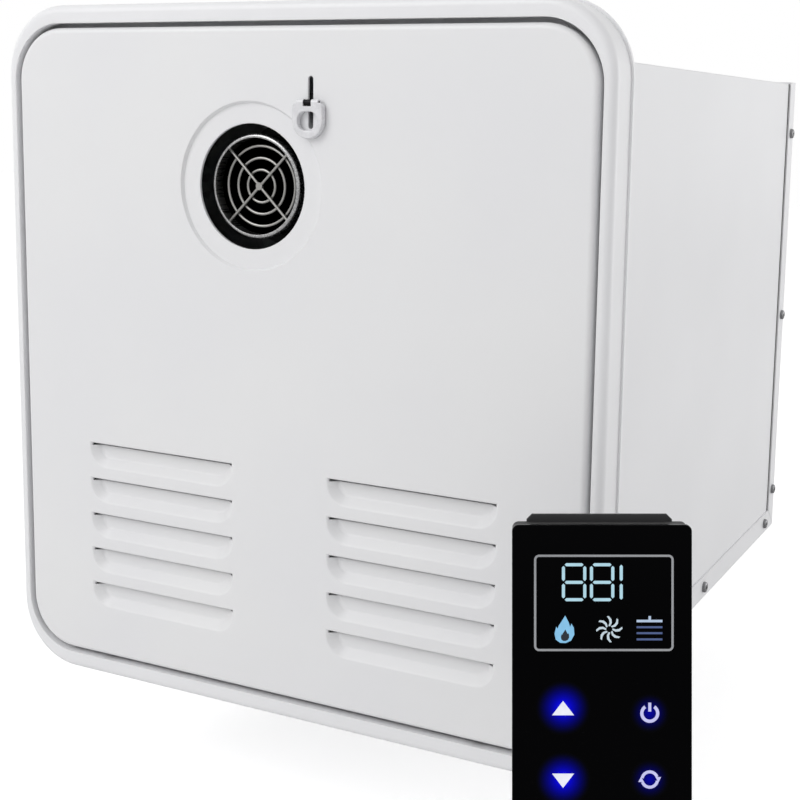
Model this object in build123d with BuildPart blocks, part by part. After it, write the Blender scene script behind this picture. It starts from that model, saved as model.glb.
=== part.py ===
"""Caravan water heater with its touch controller, in millimetres.

X runs to the viewer's right, Y towards the back and Z up.
The origin is the centre of the four wall screws, in the plane of the caravan's wall.
"""
from build123d import *
from math import cos, radians, sin
import os

os.makedirs("parts", exist_ok=True)

# Clearances
seat_clearance = 0.1
running_clearance = 0.05
sheet_clearance = 0.3
cut_overrun = 1.0

# Front frame, the moulded bezel on the caravan's wall
frame_width = 367.0
frame_height = 385.0
frame_depth = 22.0
frame_wall = 2.5
frame_corner_radius = 38.0
frame_edge_radius = 4.5
frame_side_rail = 6.0
frame_end_rail = 10.0
lip_thickness = 6.0
ring_thickness = 3.0
rim_overhang = 1.2
rim_thickness = 2.0
wall_screw_side_inset = 33.5
wall_screw_end_inset = 15.5
wall_screw_hole_radius = 2.6

# Gasket that is pressed into the back of the frame
gasket_inset = 1.5
gasket_width = 6.0
gasket_depth = 2.0

# Door, a pressed pan
door_depth = 11.0
door_wall = 1.4
door_corner_radius = 29.0
door_edge_radius = 3.0
door_gap = 2.5
exhaust_x = -18.0
exhaust_drop = 82.8
dish_radius = 44.4
dish_depth = 1.8
dish_slope = 0.9
door_hole_radius = 33.0

# Louvres pressed into the door
louvre_side_margin = 46.0
louvre_middle_margin = 30.0
louvre_height = 13.7
louvre_corner_radius = 12.0
louvre_depth = 4.5
louvre_slope = 5.0
louvre_slit = 1.5
louvre_slit_margin = 0.8
louvre_rim_radius = 1.2
louvre_floor_radius = 2.0
louvre_rows = 5
louvre_pitch = 20.8
louvre_rise = 126.5

# Door hinge
hinge_inset = 3.5
hinge_rise = 13.0
hinge_side_inset = 55.0
hinge_arm_thickness = 3.0
hinge_arm_height = 6.0
hinge_arm_rise = 0.3
hinge_end_radius = 1.8
hinge_foot_height = 14.0
hinge_foot_thickness = 2.0
hinge_step_gap = 1.5
hinge_pin_radius = 0.9
hinge_lug_thickness = 2.0
hinge_lug_depth = 5.6
hinge_lug_height = 8.0
hinge_notch_side = 1.0

# Ring latch
latch_x = 19.7
latch_drop = 38.7
latch_slot_length = 26.5
latch_slot_width = 3.0
latch_rod_radius = 1.3
latch_standoff = 0.6
latch_head_width = 4.4
latch_head_radius = 1.5
tongue_width = 3.0
tongue_height = 22.0
tongue_depth = 3.0
tongue_gap = 1.6
clip_radius = 5.0
clip_thickness = 1.2
ring_pull_width = 18.0
ring_pull_drop = 18.2
ring_pull_thickness = 3.2
ring_pull_edge = 0.6
ring_hole_width = 11.5
ring_hole_top = 4.6
ring_hole_height = 9.4
ring_ear_radius = 1.7
ring_ear_thickness = 4.0
ring_notch_gap = 0.4
ring_ear_gap = 0.2
latch_pin_radius = 0.8
keeper_width = 38.0
keeper_height = 30.0
keeper_thickness = 1.5
keeper_face_y = 0.5
keeper_slot_width = 5.0
keeper_slot_height = 27.0

# Housing of sheet steel
housing_side_inset = 11.5
housing_end_inset = 28.5
housing_back_y = 383.0
housing_sheet = 1.2
flange_width = 14.0
flange_start_y = 2.0
mitre_gap = 0.4
tab_size = 12.0
tab_side_z = 110.0
tab_top_x = 80.0
tab_side_length = 16.0

# Pan-head screws of the casing
screw_head_radius = 3.4
screw_head_height = 2.2
screw_shank_radius = 1.8
screw_length = 8.0
screw_drive_size = 2.6
screw_drive_depth = 1.0
rear_screw_heights = (129.0, -3.0, -135.0)
base_screw_insets = (24.8, 181.8)
flange_screw_inset = 7.0

# Inner cover behind the door
cover_y = 20.0
cover_sheet = 1.2
cover_screw_inset = 6.0
cover_exhaust_radius = 31.0
intake_slot_length = 80.0
intake_slot_height = 6.0
intake_slot_pitch = 14.0
intake_slot_rows = 5
intake_left_x = -100.0
intake_right_x = 60.0
intake_centre_z = -105.0

# Exhaust tube, its gasket and its wire grille
exhaust_radius = 26.6
exhaust_wall = 1.0
exhaust_mouth_inset = 7.0
exhaust_bead_radius = 1.7
exhaust_end_gap = 1.0
exhaust_gasket_radius = 34.0
exhaust_gasket_thickness = 3.0
grille_ring_radii = (21.2, 14.8, 8.6)
grille_wire_radius = 0.8
grille_hub_radius = 2.0
grille_hub_thickness = 2.0
grille_inset = 2.6

# Stack of burner, exchanger and flue hood
stack_width = 150.0
stack_front_y = 80.0
stack_rear_room = 101.8
stack_sheet = 1.0
exchanger_height = 62.0
hood_height = 70.0
burner_height = 78.0
collar_length = 20.0
fin_count = 20
fin_thickness = 0.6
fin_margin = 12.0
fin_side_gap = 0.3
water_tube_radius = 7.0
water_tube_wall = 1.5
water_tube_count = 6
water_tube_pitch = 24.0
water_tube_z = 32.0
water_tube_overhang = 10.0
water_tube_tail = 20.0
leg_size = 15.0
leg_sheet = 1.5

# Burner
burner_bar_count = 7
burner_bar_pitch = 20.0
burner_bar_width = 10.0
burner_bar_height = 40.0
burner_bar_top_z = -20.0
burner_bar_round = 3.0
burner_port_count = 16
burner_port_width = 2.0
burner_port_depth = 3.0
manifold_width = 14.0
manifold_height = 16.0
manifold_gap = 4.0
manifold_z = -48.0
nozzle_radius = 3.0
nozzle_tip_radius = 1.5
nozzle_margin = 0.4

# Gas valve and gas line
gas_valve_x = 75.0
gas_valve_width = 60.0
gas_valve_front_y = 55.0
gas_valve_length = 70.0
gas_valve_height = 60.0
gas_valve_bottom_z = -80.0
gas_valve_round = 4.0
solenoid_radius = 13.0
solenoid_height = 30.0
solenoid_pitch = 34.0
solenoid_cap_radius = 5.0
solenoid_cap_height = 4.0
gas_line_x = 105.0
gas_line_z = -48.0
gas_line_radius = 6.0
gas_line_wall = 1.0

# Fittings through the rear panel
fitting_inner_length = 12.0
fitting_hex_across = 24.0
fitting_hex_length = 8.0
water_thread_radius = 10.5
water_thread_length = 18.0
water_bore_radius = 6.0
gas_thread_radius = 8.0
gas_thread_length = 14.0
gas_bore_radius = 4.5
thread_chamfer = 1.0
water_in_x = -120.0
water_out_x = 130.0
water_fitting_z = -125.0

# Water pipes
pipe_bend_radius = 16.0
inlet_run_inset = 46.8
outlet_run_inset = 36.8

# Flow sensor and its rotor
sensor_radius = 14.0
sensor_wall = 3.0
sensor_top_z = -58.0
sensor_height = 40.0
sensor_port_radius = 1.7
sensor_port_circle = 3.8
sensor_port_count = 6
axle_radius = 1.0
rotor_hub_radius = 3.0
rotor_radius = 9.8
rotor_blade_thickness = 1.2
rotor_blade_count = 6
rotor_height = 20.0
rotor_end_gap = 0.4

# Relief valve and its lever
relief_z = -100.0
relief_front_y = 14.0
relief_length = 36.0
relief_radius = 10.0
relief_hex_across = 26.0
relief_hex_length = 9.0
relief_pipe_radius = 5.0
relief_pipe_wall = 1.0
relief_spout_radius = 5.0
relief_spout_bore = 3.5
relief_spout_drop = 32.0
relief_ear_thickness = 2.0
relief_ear_radius = 3.0
relief_pivot_height = 8.0
relief_pivot_reach = 3.2
relief_pin_radius = 1.2
lever_width = 8.0
lever_length = 20.0
lever_thickness = 1.5
lever_eye_radius = 2.4

# Rocker switch on the inner cover
switch_x = 110.0
switch_z = 20.0
switch_width = 14.0
switch_height = 20.0
switch_depth = 14.0
switch_flange = 2.0
switch_flange_thickness = 1.5
switch_wall = 1.5
rocker_rest_angle = 10.0
rocker_radius = 7.6
rocker_pivot_inset = 1.5
rocker_round_share = 0.55

# Blower
blower_x = -40.0
blower_z = -120.0
blower_share = 0.35
blower_length = 50.0
blower_radius = 38.0
blower_wall = 1.5
blower_inlet_radius = 22.0
impeller_radius = 31.0
impeller_hub_radius = 8.0
impeller_disc_thickness = 1.5
impeller_ring_width = 4.0
impeller_blade_count = 20
impeller_blade_thickness = 1.0
impeller_blade_chord = 8.0
impeller_blade_angle = 35.0
impeller_end_gap = 3.5
shaft_radius = 3.0
shaft_in_motor = 20.0
motor_radius = 22.0
motor_length = 34.0
motor_hub_radius = 7.0
motor_hub_length = 4.0

# Ignition
electrode_share = 0.2
electrode_pitch = 16.0
electrode_z = -9.0
electrode_radius = 3.0
electrode_length = 26.0
electrode_outside = 12.0
electrode_flange_radius = 6.0
electrode_flange_thickness = 2.0
electrode_wire_radius = 0.8
electrode_wire_length = 14.0
flame_sensor_share = 0.75
flame_sensor_wire_length = 30.0
spark_unit_length = 50.0
spark_unit_width = 34.0
spark_unit_height = 38.0
spark_unit_y = 60.0
spark_unit_z = -100.0
spark_unit_round = 3.0
lead_radius = 1.8
lead_bend_radius = 10.0
overheat_share = 0.5
overheat_z = 44.0
overheat_radius = 8.0
overheat_height = 6.0
overheat_pin_size = 1.0
overheat_pin_length = 7.0

# Control box on the left wall
control_y = 70.0
control_z = -10.0
control_length = 160.0
control_height = 120.0
control_depth = 38.0
control_wall = 2.0
control_lid_thickness = 2.0
control_board_gap = 10.0
control_board_thickness = 1.6
control_board_margin = 4.0
control_post_radius = 3.0
control_post_inset = 12.0
relay_size = 14.0
capacitor_radius = 6.0
capacitor_height = 18.0

# Cable gland in the rear panel
gland_x = -60.0
gland_z = -140.0
gland_radius = 8.0
gland_bore_radius = 3.5
gland_nut_across = 22.0
gland_nut_length = 5.0
gland_dome_length = 10.0

# Touch controller, turned and leant as it stands in the photograph
controller_centre_x = 221.9
controller_centre_y = -120.7
controller_centre_z = -86.4
controller_turn = 25.4
controller_lean = 8.4
controller_tilt = 1.2
controller_width = 72.6
controller_height = 122.0
controller_corner_radius = 2.6
controller_glass_thickness = 3.0
controller_glass_edge = 0.6
controller_case_depth = 10.0
controller_case_inset = 0.4
controller_case_wall = 1.6
controller_board_thickness = 1.6
controller_board_depth = 4.0
controller_plate_thickness = 1.5
controller_plate_width = 60.0
controller_plate_rise = 2.6
controller_plate_bottom = 20.0
controller_plate_chamfer = 2.2
controller_slot_length = 8.0
controller_slot_width = 4.2
controller_screw_spacing = 60.0
display_width = 57.0
display_height = 39.5
display_x = 0.7
display_rise = 29.6
key_radius = 8.0
key_left_x = -15.7
key_right_x = 19.2
key_upper_drop = 13.8
key_lower_drop = 41.7
cable_hole_width = 12.0
cable_hole_height = 8.0
cable_hole_drop = 5.0

# Places that follow from the sizes above
door_width = frame_width - 2 * (frame_side_rail + door_gap)
door_height = frame_height - 2 * (frame_end_rail + door_gap)
wall_screw_spacing_x = frame_width - 2 * wall_screw_side_inset
wall_screw_spacing_z = frame_height - 2 * wall_screw_end_inset
housing_width = frame_width - 2 * housing_side_inset
housing_height = frame_height - 2 * housing_end_inset
exhaust_z = door_height / 2 - exhaust_drop
latch_z = door_height / 2 - latch_drop
louvre_length = door_width / 2 - louvre_side_margin - louvre_middle_margin
louvre_centre_x = louvre_middle_margin + louvre_length / 2
louvre_top_z = louvre_rise - door_height / 2
door_front_y = -frame_depth
door_back_y = door_front_y + door_depth
door_inner_y = door_front_y + door_wall
hinge_y = door_front_y + hinge_inset
hinge_z = hinge_rise - door_height / 2
hinge_arm_x = door_width / 2 - hinge_side_inset
pull_pin_y = door_front_y - latch_standoff + seat_clearance - ring_ear_radius
side_x = housing_width / 2
inner_side_x = side_x - housing_sheet
top_z = housing_height / 2
inner_top_z = top_z - housing_sheet
rear_inner_y = housing_back_y - housing_sheet
tab_y = cover_y + cover_sheet
stack_length = rear_inner_y - stack_front_y - stack_rear_room
stack_back_y = stack_front_y + stack_length
stack_middle_y = stack_front_y + stack_length / 2
stack_left_x = exhaust_x - stack_width / 2
stack_right_x = exhaust_x + stack_width / 2
hood_top_z = exchanger_height + hood_height
fitting_start_y = rear_inner_y - fitting_inner_length
relief_x = water_out_x
relief_back_y = relief_front_y + relief_length
exhaust_end_y = stack_front_y - exhaust_end_gap
inlet_run_y = rear_inner_y - inlet_run_inset
outlet_run_y = rear_inner_y - outlet_run_inset
blower_y = stack_front_y + blower_share * stack_length
duct_middle_x = blower_x - blower_radius / 2
duct_middle_y = blower_y + blower_length / 2
electrode_y = stack_front_y + electrode_share * stack_length
flame_sensor_y = stack_front_y + flame_sensor_share * stack_length
overheat_y = stack_front_y + overheat_share * stack_length

# Front frame: lip, side wall, back ring and a thin rear rim
with BuildPart() as front_frame:
    with BuildSketch(Plane.XZ.offset(frame_depth)):
        RectangleRounded(frame_width, frame_height, frame_corner_radius)
    extrude(amount=-frame_depth)
    fillet(front_frame.faces().sort_by(Axis.Y)[0].edges(), frame_edge_radius)
    with BuildSketch(Plane.XZ):
        RectangleRounded(
            frame_width + 2 * rim_overhang,
            frame_height + 2 * rim_overhang,
            frame_corner_radius + rim_overhang,
        )
    extrude(amount=rim_thickness)
    with BuildSketch(Plane.XZ.offset(frame_depth)):
        RectangleRounded(
            door_width + 2 * door_gap, door_height + 2 * door_gap, door_corner_radius + door_gap
        )
    extrude(amount=-lip_thickness, mode=Mode.SUBTRACT)
    with BuildSketch(Plane.XZ.offset(frame_depth - lip_thickness)):
        RectangleRounded(
            frame_width - 2 * frame_wall, frame_height - 2 * frame_wall, frame_corner_radius - frame_wall
        )
    extrude(amount=lip_thickness + ring_thickness - frame_depth, mode=Mode.SUBTRACT)
    with BuildSketch(Plane.XZ.offset(ring_thickness)):
        Rectangle(housing_width + 2 * sheet_clearance, housing_height + 2 * sheet_clearance)
    extrude(amount=-ring_thickness, mode=Mode.SUBTRACT)
    with BuildSketch(Plane.XZ):
        RectangleRounded(
            frame_width - 2 * gasket_inset,
            frame_height - 2 * gasket_inset,
            frame_corner_radius - gasket_inset,
        )
        RectangleRounded(
            frame_width - 2 * gasket_inset - 2 * gasket_width,
            frame_height - 2 * gasket_inset - 2 * gasket_width,
            frame_corner_radius - gasket_inset - gasket_width,
            mode=Mode.SUBTRACT,
        )
    extrude(amount=gasket_depth, mode=Mode.SUBTRACT)
    with BuildSketch(Plane.XZ.offset(ring_thickness)):
        with GridLocations(wall_screw_spacing_x, wall_screw_spacing_z, 2, 2):
            Circle(wall_screw_hole_radius)
    extrude(amount=-ring_thickness, mode=Mode.SUBTRACT)
front_frame.part.label = "front_frame"
export_step(front_frame.part, "parts/front_frame.step")

# Wall gasket: a flat foam loop flush with the back of the frame
with BuildPart() as wall_gasket:
    with BuildSketch(Plane.XZ):
        RectangleRounded(
            frame_width - 2 * gasket_inset,
            frame_height - 2 * gasket_inset,
            frame_corner_radius - gasket_inset,
        )
        RectangleRounded(
            frame_width - 2 * gasket_inset - 2 * gasket_width,
            frame_height - 2 * gasket_inset - 2 * gasket_width,
            frame_corner_radius - gasket_inset - gasket_width,
            mode=Mode.SUBTRACT,
        )
    extrude(amount=gasket_depth)
wall_gasket.part.label = "wall_gasket"
export_step(wall_gasket.part, "parts/wall_gasket.step")


def louvre_hollow(grow):
    """The lower half of a tapered pocket, centred on its straight top edge, grown by a wall."""
    with BuildPart() as hollow:
        for depth, inset in ((0, 0), (louvre_depth + grow, louvre_slope)):
            with BuildSketch(Plane.XZ.offset(-depth)):
                RectangleRounded(
                    louvre_length + 2 * grow - 2 * inset,
                    2 * (louvre_height + grow - inset),
                    louvre_corner_radius + grow - inset,
                )
        loft(ruled=True)
        fillet(hollow.faces().sort_by(Axis.Y)[-1].edges(), louvre_floor_radius + grow)
        split(bisect_by=Plane.XY, keep=Keep.BOTTOM)
    return hollow.part


louvre_places = [
    (side * louvre_centre_x, door_front_y, louvre_top_z - row * louvre_pitch)
    for side in (-1, 1)
    for row in range(louvre_rows)
]
louvre_outer = louvre_hollow(door_wall)
louvre_inner = louvre_hollow(0)

# Door: pressed pan with its dish, exhaust hole, louvres, latch slot and hinge lugs
with BuildPart() as door_panel:
    with BuildSketch(Plane.XZ.offset(-door_front_y)):
        RectangleRounded(door_width, door_height, door_corner_radius)
    extrude(amount=-door_depth)
    fillet(door_panel.faces().sort_by(Axis.Y)[0].edges(), door_edge_radius)
    with BuildSketch(Plane.XZ.offset(-door_inner_y)):
        RectangleRounded(
            door_width - 2 * door_wall, door_height - 2 * door_wall, door_corner_radius - door_wall
        )
    extrude(amount=door_wall - door_depth, mode=Mode.SUBTRACT)
    for place in louvre_places:
        add(Pos(*place) * louvre_outer)
    for place in louvre_places:
        add(Pos(*place) * louvre_inner, mode=Mode.SUBTRACT)
    fillet(door_panel.faces().sort_by(Axis.Y)[0].inner_wires().edges(), louvre_rim_radius)
    with BuildSketch(Plane.XZ.offset(-door_inner_y)):
        with Locations((exhaust_x, exhaust_z)):
            Circle(dish_radius + door_wall)
    extrude(amount=-dish_depth)
    with BuildSketch(Plane.XZ.offset(-door_front_y)):
        with Locations((exhaust_x, exhaust_z)):
            Circle(dish_radius)
    with BuildSketch(Plane.XZ.offset(-door_front_y - dish_depth)):
        with Locations((exhaust_x, exhaust_z)):
            Circle(dish_radius - dish_slope)
    loft(mode=Mode.SUBTRACT)
    with BuildSketch(Plane.XZ.offset(-door_front_y - dish_depth)):
        with Locations((exhaust_x, exhaust_z)):
            Circle(door_hole_radius)
    extrude(amount=-door_wall, mode=Mode.SUBTRACT)
    slit_middle_y = door_front_y + (louvre_depth + door_wall) / 2 + cut_overrun
    slit_length = louvre_length - 2 * louvre_slit_margin
    for place in louvre_places:
        with Locations((place[0], slit_middle_y, place[2] - louvre_slit / 2)):
            Box(slit_length, louvre_depth + door_wall, louvre_slit, mode=Mode.SUBTRACT)
    with BuildSketch(Plane.XZ.offset(-door_front_y)):
        with Locations((latch_x, latch_z)):
            SlotOverall(latch_slot_length, latch_slot_width, rotation=90)
    extrude(amount=-door_wall, mode=Mode.SUBTRACT)
    notch_width = hinge_arm_thickness + 2 * hinge_notch_side
    notch_depth = door_depth - door_wall
    for side in (-1, 1):
        notch_z = -door_height / 2 + door_wall / 2
        with Locations((side * hinge_arm_x, door_inner_y + notch_depth / 2, notch_z)):
            Box(notch_width, notch_depth, door_wall, mode=Mode.SUBTRACT)
        for edge in (-1, 1):
            lug_x = side * hinge_arm_x + edge * (notch_width + hinge_lug_thickness) / 2
            with Locations((lug_x, door_inner_y + hinge_lug_depth / 2, hinge_z)):
                Box(hinge_lug_thickness, hinge_lug_depth, hinge_lug_height)
        with BuildSketch(Plane.YZ.offset(side * hinge_arm_x - notch_width)):
            with Locations((hinge_y, hinge_z)):
                Circle(hinge_pin_radius)
        extrude(amount=2 * notch_width, mode=Mode.SUBTRACT)
door_panel.part.label = "door_panel"
export_step(door_panel.part, "parts/door_panel.step")

# Hinge brackets: arms that reach forward from the inner cover into the door
with BuildPart() as hinge_brackets:
    arm_floor_z = hinge_arm_rise - inner_top_z
    arm_step_y = -ring_thickness - hinge_step_gap
    foot_y = cover_y - hinge_foot_thickness
    for side in (-1, 1):
        with BuildSketch(Plane.YZ.offset(side * hinge_arm_x - hinge_arm_thickness / 2)):
            with BuildLine():
                arm_low = (hinge_y, hinge_z - hinge_end_radius)
                arm_high = (hinge_y, hinge_z + hinge_end_radius)
                Polyline(
                    arm_low,
                    (arm_step_y, hinge_z - hinge_end_radius),
                    (arm_step_y, arm_floor_z),
                    (cover_y, arm_floor_z),
                    (cover_y, arm_floor_z + hinge_foot_height),
                    (foot_y, arm_floor_z + hinge_foot_height),
                    (foot_y, arm_floor_z + hinge_arm_height),
                    (arm_step_y - hinge_arm_height, arm_floor_z + hinge_arm_height),
                    arm_high,
                )
                ThreePointArc(arm_high, (hinge_y - hinge_end_radius, hinge_z), arm_low)
            make_face()
            with Locations((hinge_y, hinge_z)):
                Circle(hinge_pin_radius + running_clearance, mode=Mode.SUBTRACT)
        extrude(amount=hinge_arm_thickness)
hinge_brackets.part.label = "hinge_brackets"
export_step(hinge_brackets.part, "parts/hinge_brackets.step")

# Hinge pins: pressed into the door's lugs, running in the arms
with BuildPart() as hinge_pins:
    pin_length = hinge_arm_thickness + 2 * hinge_notch_side + 2 * hinge_lug_thickness
    for side in (-1, 1):
        with BuildSketch(Plane.YZ.offset(side * hinge_arm_x - pin_length / 2)):
            with Locations((hinge_y, hinge_z)):
                Circle(hinge_pin_radius)
        extrude(amount=pin_length)
hinge_pins.part.label = "hinge_pins"
export_step(hinge_pins.part, "parts/hinge_pins.step")

# Latch post: head with a cross hole, rod through the slot, and the tongue behind
tongue_front_y = keeper_face_y + tongue_gap
head_back_y = door_front_y - latch_standoff
head_depth = head_back_y - pull_pin_y
with BuildPart() as latch_post:
    with BuildSketch(Plane.YZ.offset(latch_x - latch_head_width / 2)):
        with Locations((pull_pin_y, latch_z)):
            Circle(latch_head_radius)
            Rectangle(head_depth, 2 * latch_head_radius, align=(Align.MIN, Align.CENTER))
            Circle(latch_pin_radius, mode=Mode.SUBTRACT)
    extrude(amount=latch_head_width)
    with BuildSketch(Plane.XZ.offset(-head_back_y)):
        with Locations((latch_x, latch_z)):
            Circle(latch_rod_radius)
    extrude(amount=head_back_y - tongue_front_y)
    with Locations((latch_x, tongue_front_y + tongue_depth / 2, latch_z)):
        Box(tongue_width, tongue_depth, tongue_height)
latch_post.part.label = "latch_post"
export_step(latch_post.part, "parts/latch_post.step")

# Latch clip: the spring washer that holds the post in the door
with BuildPart() as latch_clip:
    with BuildSketch(Plane.XZ.offset(-door_inner_y - sheet_clearance)):
        with Locations((latch_x, latch_z)):
            Circle(clip_radius)
            Circle(latch_rod_radius, mode=Mode.SUBTRACT)
    extrude(amount=-clip_thickness)
latch_clip.part.label = "latch_clip"
export_step(latch_clip.part, "parts/latch_clip.step")

# Latch ring: the D-shaped pull, with a knuckle on each side of the post's head
pull_back_y = pull_pin_y + ring_pull_thickness / 2
ear_inner_x = latch_head_width / 2 + ring_ear_gap
pull_half = ring_pull_width / 2
with BuildPart() as latch_ring:
    with BuildSketch(Plane.XZ.offset(-pull_back_y)):
        with BuildLine():
            pull_arc_z = latch_z - ring_pull_drop + pull_half
            Polyline(
                (latch_x - pull_half, pull_arc_z),
                (latch_x - pull_half, latch_z),
                (latch_x + pull_half, latch_z),
                (latch_x + pull_half, pull_arc_z),
            )
            ThreePointArc(
                (latch_x + pull_half, pull_arc_z),
                (latch_x, latch_z - ring_pull_drop),
                (latch_x - pull_half, pull_arc_z),
            )
        make_face()
    extrude(amount=ring_pull_thickness)
    shoulder_edges = latch_ring.edges().filter_by(Axis.Y).group_by(Axis.Z)[-1]
    fillet(shoulder_edges, pull_half - ear_inner_x - ring_ear_thickness)
    with BuildSketch(Plane.XZ.offset(-pull_back_y)):
        with Locations((latch_x, latch_z - ring_hole_top - ring_hole_height / 2)):
            RectangleRounded(ring_hole_width, ring_hole_height, ring_hole_height / 2 - ring_pull_edge)
    extrude(amount=ring_pull_thickness, mode=Mode.SUBTRACT)
    fillet(latch_ring.faces().sort_by(Axis.Y)[0].edges(), ring_pull_edge)
    knuckle_half = ear_inner_x + ring_ear_thickness
    with BuildSketch(Plane.YZ.offset(latch_x - knuckle_half)):
        with Locations((pull_pin_y, latch_z)):
            Circle(ring_ear_radius)
    extrude(amount=2 * knuckle_half)
    with Locations((latch_x, pull_pin_y, latch_z)):
        Box(
            2 * ear_inner_x,
            4 * ring_ear_radius,
            2 * (latch_head_radius + ring_notch_gap),
            mode=Mode.SUBTRACT,
        )
    with BuildSketch(Plane.YZ.offset(latch_x - knuckle_half)):
        with Locations((pull_pin_y, latch_z)):
            Circle(latch_pin_radius + running_clearance)
    extrude(amount=2 * knuckle_half, mode=Mode.SUBTRACT)
latch_ring.part.label = "latch_ring"
export_step(latch_ring.part, "parts/latch_ring.step")

# Latch pin: pressed into the post's head, the ring turns on it
with BuildPart() as latch_pin:
    pull_pin_length = 2 * (ear_inner_x + ring_ear_thickness)
    with BuildSketch(Plane.YZ.offset(latch_x - pull_pin_length / 2)):
        with Locations((pull_pin_y, latch_z)):
            Circle(latch_pin_radius)
    extrude(amount=pull_pin_length)
latch_pin.part.label = "latch_pin"
export_step(latch_pin.part, "parts/latch_pin.step")

# Latch keeper: a slotted bridge on the inner cover
with BuildPart() as latch_keeper:
    with BuildSketch(Plane.XZ.offset(-(keeper_face_y - keeper_thickness))):
        with Locations((latch_x, latch_z)):
            Rectangle(keeper_width, keeper_height)
            SlotOverall(keeper_slot_height, keeper_slot_width, rotation=90, mode=Mode.SUBTRACT)
    extrude(amount=-keeper_thickness)
    for side in (-1, 1):
        leg_x = latch_x + side * (keeper_width - keeper_thickness) / 2
        with Locations((leg_x, (keeper_face_y + cover_y) / 2, latch_z)):
            Box(keeper_thickness, cover_y - keeper_face_y, keeper_height)
latch_keeper.part.label = "latch_keeper"
export_step(latch_keeper.part, "parts/latch_keeper.step")

# Places of the casing's side screws, on both sides
rear_screw_places = [
    (side, housing_back_y - flange_screw_inset, height)
    for side in (-1, 1)
    for height in rear_screw_heights
]
base_screw_spots = [
    (side, rear_inner_y - inset, -top_z + flange_screw_inset)
    for side in (-1, 1)
    for inset in base_screw_insets
]
cover_side_x = inner_side_x - cover_screw_inset
cover_top_z = inner_top_z - cover_screw_inset
cover_screw_spots = [(x, z) for x in (-cover_side_x, cover_side_x) for z in (-tab_side_z, tab_side_z)]
cover_screw_spots += [(x, z) for x in (-tab_top_x, tab_top_x) for z in (-cover_top_z, cover_top_z)]

# Housing shell: the folded top and sides, with the inner cover's tabs
shell_length = rear_inner_y + ring_thickness
shell_middle_y = (rear_inner_y - ring_thickness) / 2
with BuildPart() as housing_shell:
    with Locations((0, shell_middle_y, housing_sheet / 2)):
        Box(housing_width, shell_length, housing_height - housing_sheet)
    with Locations((0, shell_middle_y, 0)):
        Box(2 * inner_side_x, shell_length, 2 * inner_top_z, mode=Mode.SUBTRACT)
    tab_middle_y = tab_y + housing_sheet / 2
    for side in (-1, 1):
        for height in (-tab_side_z, tab_side_z):
            with Locations((side * (inner_side_x - tab_size / 2), tab_middle_y, height)):
                Box(tab_size, housing_sheet, tab_side_length)
        with Locations((side * tab_top_x, tab_middle_y, inner_top_z - tab_size / 2)):
            Box(tab_side_length, housing_sheet, tab_size)
    for side, along, height in rear_screw_places + base_screw_spots:
        with Locations(Location((side * side_x, along, height), (0, 90, 0))):
            Cylinder(screw_shank_radius + seat_clearance, 4 * housing_sheet, mode=Mode.SUBTRACT)
    for x, z in cover_screw_spots:
        with Locations(Location((x, tab_middle_y, z), (90, 0, 0))):
            Cylinder(screw_shank_radius + seat_clearance, 2 * housing_sheet, mode=Mode.SUBTRACT)
housing_shell.part.label = "housing_shell"
export_step(housing_shell.part, "parts/housing_shell.step")

# Rear panel: flat sheet with flanges folded over the sides and the top
water_hole_radius = water_thread_radius + seat_clearance
gas_hole_radius = gas_thread_radius + seat_clearance
with BuildPart() as rear_panel:
    with Locations((0, (rear_inner_y + housing_back_y) / 2, housing_sheet / 2)):
        Box(housing_width + 2 * housing_sheet, housing_sheet, housing_height + housing_sheet)
    top_flange_y = housing_back_y - flange_width / 2
    with Locations((0, top_flange_y, top_z + housing_sheet / 2)):
        Box(housing_width + 2 * housing_sheet, flange_width, housing_sheet)
    for side in (-1, 1):
        with BuildSketch(Plane.YZ.offset(side * (side_x + housing_sheet / 2) - housing_sheet / 2)):
            with BuildLine():
                Polyline(
                    (housing_back_y, -top_z + mitre_gap),
                    (housing_back_y, top_z),
                    (housing_back_y - flange_width, top_z),
                    (housing_back_y - flange_width, -top_z + flange_width + mitre_gap),
                    close=True,
                )
            make_face()
        extrude(amount=housing_sheet)
    with BuildSketch(Plane.XZ.offset(-rear_inner_y)):
        with Locations((water_in_x, water_fitting_z), (water_out_x, water_fitting_z)):
            Circle(water_hole_radius)
        with Locations((gas_line_x, gas_line_z)):
            Circle(gas_hole_radius)
        with Locations((gland_x, gland_z)):
            Circle(gland_radius + seat_clearance)
    extrude(amount=-housing_sheet, mode=Mode.SUBTRACT)
    for side, along, height in rear_screw_places:
        with Locations(Location((side * side_x, along, height), (0, 90, 0))):
            Cylinder(screw_shank_radius + seat_clearance, 4 * housing_sheet, mode=Mode.SUBTRACT)
    for side in (-1, 1):
        with Locations((side * (side_x + housing_sheet / 2), housing_back_y, -top_z)):
            Box(housing_sheet, 2 * housing_sheet, 2 * mitre_gap, mode=Mode.SUBTRACT)
rear_panel.part.label = "rear_panel"
export_step(rear_panel.part, "parts/rear_panel.step")

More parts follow.
